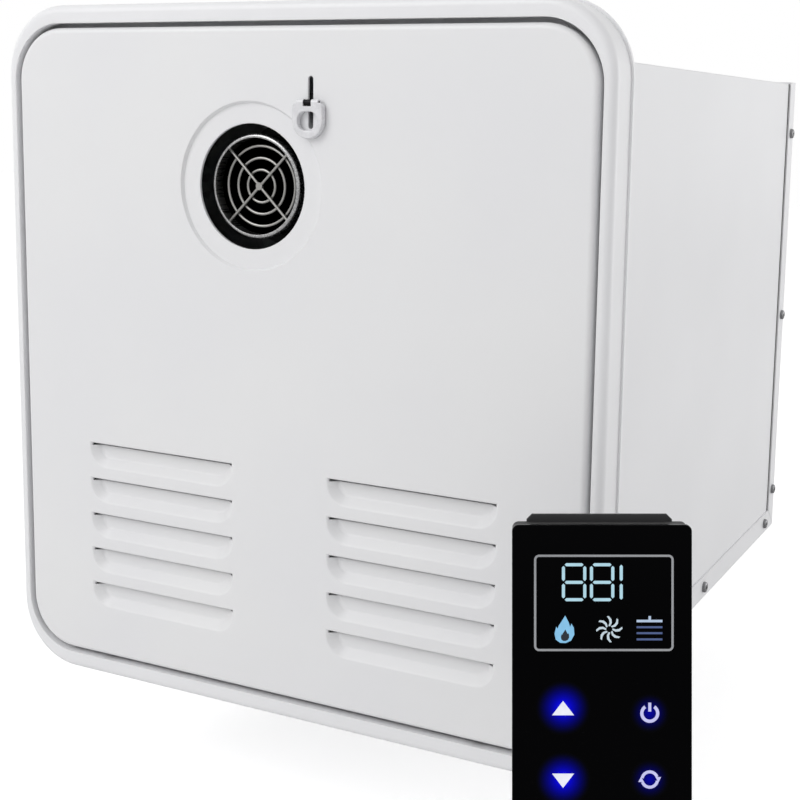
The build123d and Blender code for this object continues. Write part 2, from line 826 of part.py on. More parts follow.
# Base panel: the floor of the housing, with flanges folded up over the sides
with BuildPart() as base_panel:
    floor_length = rear_inner_y - flange_start_y
    with Locations((0, (rear_inner_y + flange_start_y) / 2, -top_z + housing_sheet / 2)):
        Box(housing_width, floor_length, housing_sheet)
    for side in (-1, 1):
        with BuildSketch(Plane.YZ.offset(side * (side_x + housing_sheet / 2) - housing_sheet / 2)):
            with BuildLine():
                Polyline(
                    (flange_start_y, -top_z),
                    (rear_inner_y, -top_z),
                    (rear_inner_y, -top_z + housing_sheet),
                    (housing_back_y - flange_width, -top_z + flange_width),
                    (flange_start_y, -top_z + flange_width),
                    close=True,
                )
            make_face()
        extrude(amount=housing_sheet)
        with Locations((side * tab_top_x, tab_y + housing_sheet / 2, -inner_top_z + tab_size / 2)):
            Box(tab_side_length, housing_sheet, tab_size)
    for side, along, height in base_screw_spots:
        with Locations(Location((side * side_x, along, height), (0, 90, 0))):
            Cylinder(screw_shank_radius + seat_clearance, 4 * housing_sheet, mode=Mode.SUBTRACT)
    for x, z in cover_screw_spots:
        with Locations(Location((x, tab_y + housing_sheet / 2, z), (90, 0, 0))):
            Cylinder(screw_shank_radius + seat_clearance, 2 * housing_sheet, mode=Mode.SUBTRACT)
base_panel.part.label = "base_panel"
export_step(base_panel.part, "parts/base_panel.step")


def pan_screw():
    """A pan-head screw along Z, its head's seat at zero and a cross recess on top."""
    with BuildPart() as screw:
        with BuildSketch():
            Circle(screw_head_radius)
        extrude(amount=screw_head_height)
        fillet(screw.faces().sort_by(Axis.Z)[-1].edges(), screw_head_height - screw_drive_depth)
        with BuildSketch():
            Circle(screw_shank_radius)
        extrude(amount=-screw_length)
        with BuildSketch(Plane.XY.offset(screw_head_height)):
            Rectangle(screw_drive_size, screw_drive_depth)
            Rectangle(screw_drive_depth, screw_drive_size)
        extrude(amount=-screw_drive_depth, mode=Mode.SUBTRACT)
    return screw.part


screw_blank = pan_screw()

# Inner cover: the sheet behind the door, with its air slots and openings
with BuildPart() as inner_cover:
    with BuildSketch(Plane.XZ.offset(-cover_y)):
        Rectangle(2 * (inner_side_x - sheet_clearance), 2 * (inner_top_z - sheet_clearance))
        with Locations((exhaust_x, exhaust_z)):
            Circle(cover_exhaust_radius, mode=Mode.SUBTRACT)
        with Locations((relief_x, relief_z)):
            Circle(relief_radius + seat_clearance, mode=Mode.SUBTRACT)
        with Locations((switch_x, switch_z)):
            Rectangle(
                switch_width + 2 * seat_clearance, switch_height + 2 * seat_clearance, mode=Mode.SUBTRACT
            )
        with Locations(*cover_screw_spots):
            Circle(screw_shank_radius + seat_clearance, mode=Mode.SUBTRACT)
        for slots_x in (intake_left_x, intake_right_x):
            with Locations((slots_x, intake_centre_z)):
                with GridLocations(0, intake_slot_pitch, 1, intake_slot_rows):
                    SlotOverall(intake_slot_length, intake_slot_height, mode=Mode.SUBTRACT)
    extrude(amount=-cover_sheet)
inner_cover.part.label = "inner_cover"
export_step(inner_cover.part, "parts/inner_cover.step")

# Casing screws: six in the rear flanges, four in the base flanges, eight in the inner cover
with BuildPart() as casing_screws:
    for side, along, height in rear_screw_places + base_screw_spots:
        seat = Location((side * (side_x + housing_sheet), along, height), (0, side * 90, 0))
        add(seat * screw_blank)
    for x, z in cover_screw_spots:
        add(Location((x, cover_y, z), (90, 0, 0)) * screw_blank)
casing_screws.part.label = "casing_screws"
export_step(casing_screws.part, "parts/casing_screws.step")

# Exhaust tube: thin stainless tube with a rolled mouth
mouth_y = door_front_y + exhaust_mouth_inset
with BuildPart() as exhaust_tube:
    with BuildSketch(Plane.XZ.offset(-mouth_y)):
        with Locations((exhaust_x, exhaust_z)):
            Circle(exhaust_radius)
    extrude(amount=mouth_y - exhaust_end_y)
    with Locations(Location((exhaust_x, mouth_y, exhaust_z), (90, 0, 0))):
        Torus(exhaust_radius - exhaust_wall / 2, exhaust_bead_radius)
    with BuildSketch(Plane.XZ.offset(-mouth_y + exhaust_bead_radius)):
        with Locations((exhaust_x, exhaust_z)):
            Circle(exhaust_radius - exhaust_wall)
    extrude(amount=mouth_y - exhaust_end_y - 2 * exhaust_bead_radius, mode=Mode.SUBTRACT)
exhaust_tube.part.label = "exhaust_tube"
export_step(exhaust_tube.part, "parts/exhaust_tube.step")

# Exhaust grille: a wire cross spot-welded in front of three wire rings, set in the mouth
spoke_y = mouth_y + grille_inset
grille_ring_y = spoke_y + 2 * grille_wire_radius + running_clearance
with BuildPart() as exhaust_grille:
    with BuildSketch(Plane.XZ.offset(-spoke_y + grille_hub_thickness / 2)):
        with Locations((exhaust_x, exhaust_z)):
            Circle(grille_hub_radius)
    extrude(amount=-grille_hub_thickness)
    spoke_start = grille_hub_radius / 2
    spoke_end = exhaust_radius - exhaust_wall - running_clearance
    for angle in (45, 135, 225, 315):
        outward = (cos(radians(angle)), 0, sin(radians(angle)))
        start = (exhaust_x + spoke_start * outward[0], spoke_y, exhaust_z + spoke_start * outward[2])
        with BuildSketch(Plane(start, z_dir=outward)):
            Circle(grille_wire_radius)
        extrude(amount=spoke_end - spoke_start)
    for ring_radius in grille_ring_radii:
        with Locations(Location((exhaust_x, grille_ring_y, exhaust_z), (90, 0, 0))):
            Torus(ring_radius, grille_wire_radius)
exhaust_grille.part.label = "exhaust_grille"
export_step(exhaust_grille.part, "parts/exhaust_grille.step")

# Exhaust gasket: silicone ring between the tube and the inner cover
with BuildPart() as exhaust_gasket:
    with BuildSketch(Plane.XZ.offset(-cover_y)):
        with Locations((exhaust_x, exhaust_z)):
            Circle(exhaust_gasket_radius)
            Circle(exhaust_radius + seat_clearance, mode=Mode.SUBTRACT)
    extrude(amount=exhaust_gasket_thickness)
exhaust_gasket.part.label = "exhaust_gasket"
export_step(exhaust_gasket.part, "parts/exhaust_gasket.step")

# Flue hood: a folded cover above the exchanger, closed by two plates that fit into its ends
hood_middle_z = exchanger_height + hood_height / 2
plate_middle_z = hood_middle_z - stack_sheet / 2
with BuildPart() as hood_cover:
    with Locations((exhaust_x, stack_middle_y, hood_middle_z)):
        Box(stack_width, stack_length, hood_height)
    with Locations((exhaust_x, stack_middle_y, plate_middle_z)):
        Box(
            stack_width - 2 * stack_sheet,
            stack_length,
            hood_height - stack_sheet,
            mode=Mode.SUBTRACT,
        )
with BuildPart() as hood_rear_plate:
    with Locations((exhaust_x, stack_middle_y + (stack_length - stack_sheet) / 2, plate_middle_z)):
        Box(stack_width - 2 * stack_sheet, stack_sheet, hood_height - stack_sheet)

# The front plate has a collar that leads the exhaust into the tube
with BuildPart() as hood_front_plate:
    with Locations((exhaust_x, stack_front_y + stack_sheet / 2, plate_middle_z)):
        Box(stack_width - 2 * stack_sheet, stack_sheet, hood_height - stack_sheet)
    with BuildSketch(Plane.XZ.offset(-stack_front_y)):
        with Locations((exhaust_x, exhaust_z)):
            Circle(exhaust_radius + seat_clearance + stack_sheet)
    extrude(amount=collar_length)
    with BuildSketch(Plane.XZ.offset(-stack_front_y - stack_sheet)):
        with Locations((exhaust_x, exhaust_z)):
            Circle(exhaust_radius + seat_clearance)
    extrude(amount=collar_length + stack_sheet, mode=Mode.SUBTRACT)
hood_sheets = [hood_cover.part.solid(), hood_front_plate.part.solid(), hood_rear_plate.part.solid()]
flue_hood = Compound(hood_sheets, label="flue_hood")
export_step(flue_hood, "parts/flue_hood.step")

# Places of the exchanger's water tubes
tube_places = [
    exhaust_x + (place - (water_tube_count - 1) / 2) * water_tube_pitch
    for place in range(water_tube_count)
]

# Exchanger shell: copper box, open above and below, with holes for the tubes
with BuildPart() as exchanger_shell:
    with Locations((exhaust_x, stack_middle_y, exchanger_height / 2)):
        Box(stack_width, stack_length, exchanger_height)
        Box(
            stack_width - 2 * stack_sheet,
            stack_length - 2 * stack_sheet,
            exchanger_height,
            mode=Mode.SUBTRACT,
        )
    with BuildSketch(Plane.XZ.offset(-stack_front_y)):
        with Locations(*[(x, water_tube_z) for x in tube_places]):
            Circle(water_tube_radius + running_clearance)
    extrude(amount=-stack_length, mode=Mode.SUBTRACT)
exchanger_shell.part.label = "exchanger_shell"
export_step(exchanger_shell.part, "parts/exchanger_shell.step")

# Exchanger fins: thin copper plates across the tubes
with BuildPart() as exchanger_fins:
    fin_pitch = (stack_length - 2 * fin_margin) / (fin_count - 1)
    for place in range(fin_count):
        fin_y = stack_front_y + fin_margin + place * fin_pitch
        with BuildSketch(Plane.XZ.offset(-fin_y)):
            with Locations((exhaust_x, water_tube_z)):
                Rectangle(
                    stack_width - 2 * stack_sheet - 2 * fin_side_gap, exchanger_height - 2 * fin_margin
                )
            with Locations(*[(x, water_tube_z) for x in tube_places]):
                Circle(water_tube_radius + running_clearance, mode=Mode.SUBTRACT)
        extrude(amount=-fin_thickness)
exchanger_fins.part.label = "exchanger_fins"
export_step(exchanger_fins.part, "parts/exchanger_fins.step")

# Exchanger tubes: one copper tube that goes to and fro through the fins
with BuildPart() as exchanger_tubes:
    turn_front_y = stack_front_y - water_tube_overhang
    turn_back_y = stack_back_y + water_tube_overhang
    tail_y = turn_back_y + water_tube_tail
    with BuildLine() as tube_route:
        for place, x in enumerate(tube_places):
            first = place == 0
            last = place == water_tube_count - 1
            back_y = tail_y if first or last else turn_back_y
            Line((x, back_y, water_tube_z), (x, turn_front_y, water_tube_z))
            if not last:
                bend_y = turn_front_y if place % 2 == 0 else turn_back_y
                reach = -water_tube_pitch / 2 if place % 2 == 0 else water_tube_pitch / 2
                middle = (x + water_tube_pitch / 2, bend_y + reach, water_tube_z)
                ThreePointArc(
                    (x, bend_y, water_tube_z), middle, (x + water_tube_pitch, bend_y, water_tube_z)
                )
    with BuildSketch(Plane((tube_places[0], tail_y, water_tube_z), z_dir=(0, -1, 0))):
        Circle(water_tube_radius)
        Circle(water_tube_radius - water_tube_wall, mode=Mode.SUBTRACT)
    sweep(path=tube_route.wire())
exchanger_tubes.part.label = "exchanger_tubes"
export_step(exchanger_tubes.part, "parts/exchanger_tubes.step")

# Overheat switch: bimetal disc clipped to the exchanger's side
with BuildPart() as overheat_switch:
    with BuildSketch(Plane.YZ.offset(stack_left_x - overheat_height)):
        with Locations((overheat_y, overheat_z)):
            Circle(overheat_radius)
    extrude(amount=overheat_height)
    for edge in (-1, 1):
        pin_x = stack_left_x - overheat_height - overheat_pin_length / 2
        with Locations((pin_x, overheat_y + edge * overheat_radius / 2, overheat_z)):
            Box(overheat_pin_length, overheat_pin_size, 4 * overheat_pin_size)
overheat_switch.part.label = "overheat_switch"
export_step(overheat_switch.part, "parts/overheat_switch.step")

# Places of the burner's bars and of the holes in its left wall
bar_places = [
    exhaust_x + (place - (burner_bar_count - 1) / 2) * burner_bar_pitch
    for place in range(burner_bar_count)
]
electrode_places = [
    electrode_y - electrode_pitch / 2,
    electrode_y + electrode_pitch / 2,
    flame_sensor_y,
]

# Burner box: steel tray with holes for the nozzles, the electrodes and the air
with BuildPart() as burner_box:
    with Locations((exhaust_x, stack_middle_y, -burner_height / 2)):
        Box(stack_width, stack_length, burner_height)
    with Locations((exhaust_x, stack_middle_y, -burner_height / 2 + stack_sheet / 2)):
        Box(
            stack_width - 2 * stack_sheet,
            stack_length - 2 * stack_sheet,
            burner_height - stack_sheet,
            mode=Mode.SUBTRACT,
        )
    with BuildSketch(Plane.XZ.offset(-stack_front_y)):
        with Locations(*[(x, manifold_z) for x in bar_places]):
            Circle(nozzle_radius + seat_clearance)
    extrude(amount=-stack_sheet, mode=Mode.SUBTRACT)
    with BuildSketch(Plane.YZ.offset(stack_left_x)):
        with Locations(*[(y, electrode_z) for y in electrode_places]):
            Circle(electrode_radius + seat_clearance)
    extrude(amount=stack_sheet, mode=Mode.SUBTRACT)
    with Locations((duct_middle_x, duct_middle_y, -burner_height + stack_sheet / 2)):
        Box(
            blower_radius - 2 * blower_wall,
            blower_length - 2 * blower_wall,
            stack_sheet,
            mode=Mode.SUBTRACT,
        )
burner_box.part.label = "burner_box"
export_step(burner_box.part, "parts/burner_box.step")

# Burner bars: seven slotted bars side by side
with BuildPart() as burner_bars:
    bar_length = stack_length - 2 * stack_sheet
    for x in bar_places:
        with BuildSketch(Plane.XZ.offset(-stack_front_y - stack_sheet)):
            with Locations((x, burner_bar_top_z - burner_bar_height / 2)):
                RectangleRounded(burner_bar_width, burner_bar_height, burner_bar_round)
        extrude(amount=-bar_length)
        with Locations((x, stack_middle_y, burner_bar_top_z - burner_port_depth / 2)):
            with GridLocations(0, bar_length / burner_port_count, 1, burner_port_count):
                Box(burner_bar_width, burner_port_width, burner_port_depth, mode=Mode.SUBTRACT)
burner_bars.part.label = "burner_bars"
export_step(burner_bars.part, "parts/burner_bars.step")

# Gas manifold: a square bar in front of the burner with one nozzle for each bar
manifold_back_y = stack_front_y - manifold_gap
with BuildPart() as gas_manifold:
    manifold_middle_x = (stack_left_x + gas_valve_x) / 2
    with Locations((manifold_middle_x, manifold_back_y - manifold_width / 2, manifold_z)):
        Box(gas_valve_x - stack_left_x, manifold_width, manifold_height)
    nozzle_length = manifold_gap + stack_sheet - nozzle_margin
    for x in bar_places:
        with BuildSketch(Plane.XZ.offset(-manifold_back_y)):
            with Locations((x, manifold_z)):
                Circle(nozzle_radius)
                Circle(nozzle_tip_radius, mode=Mode.SUBTRACT)
        extrude(amount=-nozzle_length)
gas_manifold.part.label = "gas_manifold"
export_step(gas_manifold.part, "parts/gas_manifold.step")

# Gas valve: cast block beside the manifold
gas_valve_back_y = gas_valve_front_y + gas_valve_length
gas_valve_top_z = gas_valve_bottom_z + gas_valve_height
with BuildPart() as gas_valve:
    with Locations((
        gas_valve_x + gas_valve_width / 2,
        gas_valve_front_y + gas_valve_length / 2,
        gas_valve_bottom_z + gas_valve_height / 2,
    )):
        Box(gas_valve_width, gas_valve_length, gas_valve_height)
    fillet(gas_valve.edges().filter_by(Axis.Z), gas_valve_round)
gas_valve.part.label = "gas_valve"
export_step(gas_valve.part, "parts/gas_valve.step")

# Gas solenoids: two coils on the valve
with BuildPart() as gas_solenoids:
    for edge in (-1, 1):
        solenoid_y = gas_valve_front_y + gas_valve_length / 2 + edge * solenoid_pitch / 2
        with BuildSketch(Plane.XY.offset(gas_valve_top_z)):
            with Locations((gas_valve_x + gas_valve_width / 2, solenoid_y)):
                Circle(solenoid_radius)
        extrude(amount=solenoid_height)
        with BuildSketch(Plane.XY.offset(gas_valve_top_z + solenoid_height)):
            with Locations((gas_valve_x + gas_valve_width / 2, solenoid_y)):
                Circle(solenoid_cap_radius)
        extrude(amount=solenoid_cap_height)
gas_solenoids.part.label = "gas_solenoids"
export_step(gas_solenoids.part, "parts/gas_solenoids.step")

# Gas pipe: straight line from the valve to the rear fitting
with BuildPart() as gas_pipe:
    with BuildSketch(Plane.XZ.offset(-gas_valve_back_y)):
        with Locations((gas_line_x, gas_line_z)):
            Circle(gas_line_radius)
            Circle(gas_line_radius - gas_line_wall, mode=Mode.SUBTRACT)
    extrude(amount=gas_valve_back_y - fitting_start_y)
gas_pipe.part.label = "gas_pipe"
export_step(gas_pipe.part, "parts/gas_pipe.step")


def rear_fitting(x, z, thread_radius, bore_radius, thread_length):
    """A brass fitting through the rear panel: inner barrel, hexagon and threaded stub."""
    with BuildPart() as fitting:
        with BuildSketch(Plane.XZ.offset(-fitting_start_y)):
            with Locations((x, z)):
                Circle(thread_radius)
        extrude(amount=fitting_start_y - housing_back_y - fitting_hex_length - thread_length)
        chamfer(fitting.edges().sort_by(Axis.Y)[-1], thread_chamfer)
        with BuildSketch(Plane.XZ.offset(-housing_back_y)):
            with Locations((x, z)):
                RegularPolygon(fitting_hex_across / 2, 6, major_radius=False)
        extrude(amount=-fitting_hex_length)
        with BuildSketch(Plane.XZ.offset(-fitting_start_y)):
            with Locations((x, z)):
                Circle(bore_radius)
        extrude(
            amount=fitting_start_y - housing_back_y - fitting_hex_length - thread_length,
            mode=Mode.SUBTRACT,
        )
    return fitting.part


# Water fittings: cold water in on the left, hot water out on the right
with BuildPart() as water_fittings:
    for x in (water_in_x, water_out_x):
        add(rear_fitting(x, water_fitting_z, water_thread_radius, water_bore_radius, water_thread_length))
water_fittings.part.label = "water_fittings"
export_step(water_fittings.part, "parts/water_fittings.step")

# Gas inlet fitting
gas_inlet_fitting = rear_fitting(
    gas_line_x, gas_line_z, gas_thread_radius, gas_bore_radius, gas_thread_length
)
gas_inlet_fitting.label = "gas_inlet_fitting"
export_step(gas_inlet_fitting, "parts/gas_inlet_fitting.step")


def bent_tube(points, bend_radius, outer_radius, inner_radius):
    """A round tube along straight runs joined by arcs, solid where the inner radius is zero."""
    with BuildPart() as tube:
        with BuildLine() as route:
            FilletPolyline(*points, radius=bend_radius)
        with BuildSketch(Plane(route.wire() @ 0, z_dir=route.wire() % 0)):
            Circle(outer_radius)
            if inner_radius > 0:
                Circle(inner_radius, mode=Mode.SUBTRACT)
        sweep(path=route.wire())
    return tube.part


pipe_inner_radius = water_tube_radius - water_tube_wall
sensor_bottom_z = sensor_top_z - sensor_height

# Inlet pipe: from the flow sensor up to the first exchanger tube
inlet_pipe = bent_tube(
    [
        (water_in_x, inlet_run_y, sensor_top_z),
        (water_in_x, inlet_run_y, water_tube_z),
        (tube_places[0], inlet_run_y, water_tube_z),
        (tube_places[0], tail_y, water_tube_z),
    ],
    pipe_bend_radius, water_tube_radius, pipe_inner_radius,
)
inlet_pipe.label = "inlet_pipe"
export_step(inlet_pipe, "parts/inlet_pipe.step")

# Sensor pipe: from the rear fitting to the flow sensor's lower end
sensor_pipe = bent_tube(
    [
        (water_in_x, fitting_start_y, water_fitting_z),
        (water_in_x, inlet_run_y, water_fitting_z),
        (water_in_x, inlet_run_y, sensor_bottom_z),
    ],
    pipe_bend_radius, water_tube_radius, pipe_inner_radius,
)
sensor_pipe.label = "sensor_pipe"
export_step(sensor_pipe, "parts/sensor_pipe.step")

# Outlet pipe: from the last exchanger tube to the hot water fitting
outlet_pipe = bent_tube(
    [
        (tube_places[-1], tail_y, water_tube_z),
        (tube_places[-1], outlet_run_y, water_tube_z),
        (water_out_x, outlet_run_y, water_tube_z),
        (water_out_x, outlet_run_y, water_fitting_z),
        (water_out_x, fitting_start_y, water_fitting_z),
    ],
    pipe_bend_radius, water_tube_radius, pipe_inner_radius,
)
outlet_pipe.label = "outlet_pipe"
export_step(outlet_pipe, "parts/outlet_pipe.step")

# Flow sensor: a chamber with ported ends and an axle
with BuildPart() as flow_sensor:
    with BuildSketch(Plane.XY.offset(sensor_bottom_z)):
        with Locations((water_in_x, inlet_run_y)):
            Circle(sensor_radius)
    extrude(amount=sensor_height)
    with BuildSketch(Plane.XY.offset(sensor_bottom_z + sensor_wall)):
        with Locations((water_in_x, inlet_run_y)):
            Circle(sensor_radius - sensor_wall)
    extrude(amount=sensor_height - 2 * sensor_wall, mode=Mode.SUBTRACT)
    with BuildSketch(Plane.XY.offset(sensor_bottom_z)):
        with Locations((water_in_x, inlet_run_y)):
            with PolarLocations(sensor_port_circle, sensor_port_count):
                Circle(sensor_port_radius)
    extrude(amount=sensor_height, mode=Mode.SUBTRACT)
    with BuildSketch(Plane.XY.offset(sensor_bottom_z + sensor_wall)):
        with Locations((water_in_x, inlet_run_y)):
            Circle(axle_radius)
    extrude(amount=sensor_height - 2 * sensor_wall)
flow_sensor.part.label = "flow_sensor"
export_step(flow_sensor.part, "parts/flow_sensor.step")

# Flow rotor: a small bladed wheel that turns on the sensor's axle
with BuildPart() as flow_rotor:
    rotor_bottom_z = sensor_bottom_z + (sensor_height - rotor_height) / 2
    with BuildSketch(Plane.XY.offset(rotor_bottom_z)):
        with Locations((water_in_x, inlet_run_y)):
            Circle(rotor_hub_radius)
            with PolarLocations(0, rotor_blade_count):
                Rectangle(rotor_radius, rotor_blade_thickness, align=(Align.MIN, Align.CENTER))
            Circle(axle_radius + running_clearance, mode=Mode.SUBTRACT)
    extrude(amount=rotor_height)
flow_rotor.part.label = "flow_rotor"
export_step(flow_rotor.part, "parts/flow_rotor.step")

# Relief pipe: straight line from the outlet pipe forward to the relief valve
with BuildPart() as relief_pipe:
    relief_pipe_end_y = outlet_run_y - water_tube_radius
    with BuildSketch(Plane.XZ.offset(-relief_back_y)):
        with Locations((relief_x, relief_z)):
            Circle(relief_pipe_radius)
            Circle(relief_pipe_radius - relief_pipe_wall, mode=Mode.SUBTRACT)
    extrude(amount=relief_back_y - relief_pipe_end_y)
relief_pipe.part.label = "relief_pipe"
export_step(relief_pipe.part, "parts/relief_pipe.step")

# Relief valve: brass body through the inner cover, with its spout, ears and pivot pin
pivot_y = relief_front_y - relief_pivot_reach
pivot_z = relief_z + relief_pivot_height
with BuildPart() as relief_valve:
    with BuildSketch(Plane.XZ.offset(-relief_front_y)):
        with Locations((relief_x, relief_z)):
            Circle(relief_radius)
    extrude(amount=-relief_length)
    with BuildSketch(Plane.XZ.offset(-cover_y - cover_sheet)):
        with Locations((relief_x, relief_z)):
            RegularPolygon(relief_hex_across / 2, 6, major_radius=False)
    extrude(amount=-relief_hex_length)
    spout_y = relief_back_y - relief_radius
    with BuildSketch(Plane.XY.offset(relief_z)):
        with Locations((relief_x, spout_y)):
            Circle(relief_spout_radius)
    extrude(amount=-relief_spout_drop)
    with BuildSketch(Plane.XY.offset(relief_z - relief_radius)):
        with Locations((relief_x, spout_y)):
            Circle(relief_spout_bore)
    extrude(amount=relief_radius - relief_spout_drop, mode=Mode.SUBTRACT)
    ear_inner = lever_width / 2 + sheet_clearance
    ear_reach = relief_front_y - pivot_y + relief_ear_radius
    ear_drop = pivot_z - relief_z + relief_ear_radius
    for edge in (-1, 1):
        ear_x = relief_x + edge * (ear_inner + relief_ear_thickness / 2) - relief_ear_thickness / 2
        with BuildSketch(Plane.YZ.offset(ear_x)):
            with Locations((pivot_y, pivot_z)):
                Circle(relief_ear_radius)
                Rectangle(ear_reach, ear_drop, align=(Align.MIN, Align.MAX))
        extrude(amount=relief_ear_thickness)
    with BuildSketch(Plane.YZ.offset(relief_x - ear_inner)):
        with Locations((pivot_y, pivot_z)):
            Circle(relief_pin_radius)
    extrude(amount=2 * ear_inner)
relief_valve.part.label = "relief_valve"
export_step(relief_valve.part, "parts/relief_valve.step")

# Relief lever: hangs in front of the valve and lifts forward
with BuildPart() as relief_lever:
    with BuildSketch(Plane.YZ.offset(relief_x - lever_width / 2)):
        with Locations((pivot_y, pivot_z)):
            Circle(lever_eye_radius)
        with Locations((pivot_y - lever_eye_radius + lever_thickness / 2, pivot_z - lever_length / 2)):
            Rectangle(lever_thickness, lever_length)
        with Locations((pivot_y, pivot_z)):
            Circle(relief_pin_radius + running_clearance, mode=Mode.SUBTRACT)
    extrude(amount=lever_width)
relief_lever.part.label = "relief_lever"
export_step(relief_lever.part, "parts/relief_lever.step")

# Power switch: snap-in body with a flange on the inner cover
with BuildPart() as power_switch:
    with Locations((switch_x, cover_y + switch_depth / 2, switch_z)):
        Box(switch_width, switch_depth, switch_height)
    with Locations((switch_x, cover_y - switch_flange_thickness / 2, switch_z)):
        Box(
            switch_width + 2 * switch_flange,
            switch_flange_thickness,
            switch_height + 2 * switch_flange,
        )
    well_depth = switch_flange_thickness + switch_depth - switch_wall
    with Locations((switch_x, cover_y - switch_flange_thickness + well_depth / 2, switch_z)):
        Box(
            switch_width - 2 * switch_wall,
            well_depth,
            switch_height - 2 * switch_wall,
            mode=Mode.SUBTRACT,
        )
power_switch.part.label = "power_switch"
export_step(power_switch.part, "parts/power_switch.step")

# Switch rocker: a rounded key that rocks on its middle
rocker_y = cover_y + rocker_pivot_inset
with BuildPart() as switch_rocker:
    rocker_plane = Plane(
        (switch_x - switch_width / 2 + switch_wall + sheet_clearance, rocker_y, switch_z),
        x_dir=(0, cos(radians(rocker_rest_angle)), sin(radians(rocker_rest_angle))),
        z_dir=(1, 0, 0),
    )
    with BuildSketch(rocker_plane):
        Circle(rocker_radius)
        with Locations((-rocker_radius, 0)):
            Circle(rocker_radius * rocker_round_share, mode=Mode.SUBTRACT)
    extrude(amount=switch_width - 2 * switch_wall - 2 * sheet_clearance)
switch_rocker.part.label = "switch_rocker"
export_step(switch_rocker.part, "parts/switch_rocker.step")

# Blower housing: round case that blows up into the burner box
duct_height = -burner_height - blower_z
with BuildPart() as blower_housing:
    with BuildSketch(Plane.XZ.offset(-blower_y)):
        with Locations((blower_x, blower_z)):
            Circle(blower_radius)
        with Locations((duct_middle_x, blower_z + duct_height / 2)):
            Rectangle(blower_radius, duct_height)
    extrude(amount=-blower_length)
    with BuildSketch(Plane.XZ.offset(-blower_y - blower_wall)):
        with Locations((blower_x, blower_z)):
            Circle(blower_radius - blower_wall)
        with Locations((duct_middle_x, blower_z + duct_height / 2)):
            Rectangle(blower_radius - 2 * blower_wall, duct_height)
    extrude(amount=2 * blower_wall - blower_length, mode=Mode.SUBTRACT)
    with BuildSketch(Plane.XZ.offset(-blower_y)):
        with Locations((blower_x, blower_z)):
            Circle(blower_inlet_radius)
    extrude(amount=-blower_wall, mode=Mode.SUBTRACT)
    with BuildSketch(Plane.XZ.offset(-blower_y - blower_length + blower_wall)):
        with Locations((blower_x, blower_z)):
            Circle(motor_hub_radius + seat_clearance)
    extrude(amount=-blower_wall, mode=Mode.SUBTRACT)
blower_housing.part.label = "blower_housing"
export_step(blower_housing.part, "parts/blower_housing.step")

# Blower motor: a can behind the case, its hub centred in the wall
blower_back_y = blower_y + blower_length
with BuildPart() as blower_motor:
    with BuildSketch(Plane.XZ.offset(-blower_back_y)):
        with Locations((blower_x, blower_z)):
            Circle(motor_radius)
    extrude(amount=-motor_length)
    fillet(blower_motor.faces().sort_by(Axis.Y)[-1].edges(), motor_hub_length)
    with BuildSketch(Plane.XZ.offset(-blower_back_y)):
        with Locations((blower_x, blower_z)):
            Circle(motor_hub_radius)
    extrude(amount=blower_wall)
    with BuildSketch(Plane.XZ.offset(-blower_back_y + blower_wall)):
        with Locations((blower_x, blower_z)):
            Circle(shaft_radius + running_clearance)
    extrude(amount=-shaft_in_motor - blower_wall, mode=Mode.SUBTRACT)
blower_motor.part.label = "blower_motor"
export_step(blower_motor.part, "parts/blower_motor.step")

# Blower shaft: carries the impeller
impeller_front_y = blower_y + blower_wall + impeller_end_gap
impeller_back_y = blower_back_y - blower_wall - impeller_end_gap
with BuildPart() as blower_shaft:
    with BuildSketch(Plane.XZ.offset(-impeller_front_y)):
        with Locations((blower_x, blower_z)):
            Circle(shaft_radius)
    extrude(amount=impeller_front_y - blower_back_y - shaft_in_motor + sheet_clearance)
blower_shaft.part.label = "blower_shaft"
export_step(blower_shaft.part, "parts/blower_shaft.step")

# Blower impeller: back disc, hub, front ring and leaning blades
with BuildPart() as blower_impeller:
    with BuildSketch(Plane.XZ.offset(-impeller_back_y)):
        with Locations((blower_x, blower_z)):
            Circle(impeller_radius)
    extrude(amount=impeller_disc_thickness)
    with BuildSketch(Plane.XZ.offset(-impeller_back_y)):
        with Locations((blower_x, blower_z)):
            Circle(impeller_hub_radius)
    extrude(amount=impeller_back_y - impeller_front_y)
    with BuildSketch(Plane.XZ.offset(-impeller_front_y)):
        with Locations((blower_x, blower_z)):
            Circle(impeller_radius)
            Circle(impeller_radius - impeller_ring_width, mode=Mode.SUBTRACT)
    extrude(amount=-impeller_disc_thickness)
    with BuildSketch(Plane.XZ.offset(-impeller_front_y)):
        with Locations((blower_x, blower_z)):
            with PolarLocations(impeller_radius - impeller_ring_width, impeller_blade_count):
                Rectangle(
                    impeller_blade_chord - impeller_blade_thickness,
                    impeller_blade_thickness,
                    rotation=impeller_blade_angle,
                )
    extrude(amount=impeller_front_y - impeller_back_y)
    with BuildSketch(Plane.XZ.offset(-impeller_front_y)):
        with Locations((blower_x, blower_z)):
            Circle(shaft_radius)
    extrude(amount=impeller_front_y - impeller_back_y, mode=Mode.SUBTRACT)
blower_impeller.part.label = "blower_impeller"
export_step(blower_impeller.part, "parts/blower_impeller.step")

# Stack legs: four angles between the base panel and the burner box
with BuildPart() as stack_legs:
    leg_height = inner_top_z - burner_height
    for across in (-1, 1):
        for along in (-1, 1):
            corner_x = exhaust_x + across * stack_width / 2
            corner_y = stack_middle_y + along * stack_length / 2
            with BuildSketch(Plane.XY.offset(-inner_top_z)):
                with Locations((corner_x - across * leg_size / 2, corner_y - along * leg_sheet / 2)):
                    Rectangle(leg_size, leg_sheet)
                with Locations((corner_x - across * leg_sheet / 2, corner_y - along * leg_size / 2)):
                    Rectangle(leg_sheet, leg_size)
            extrude(amount=leg_height)
stack_legs.part.label = "stack_legs"
export_step(stack_legs.part, "parts/stack_legs.step")


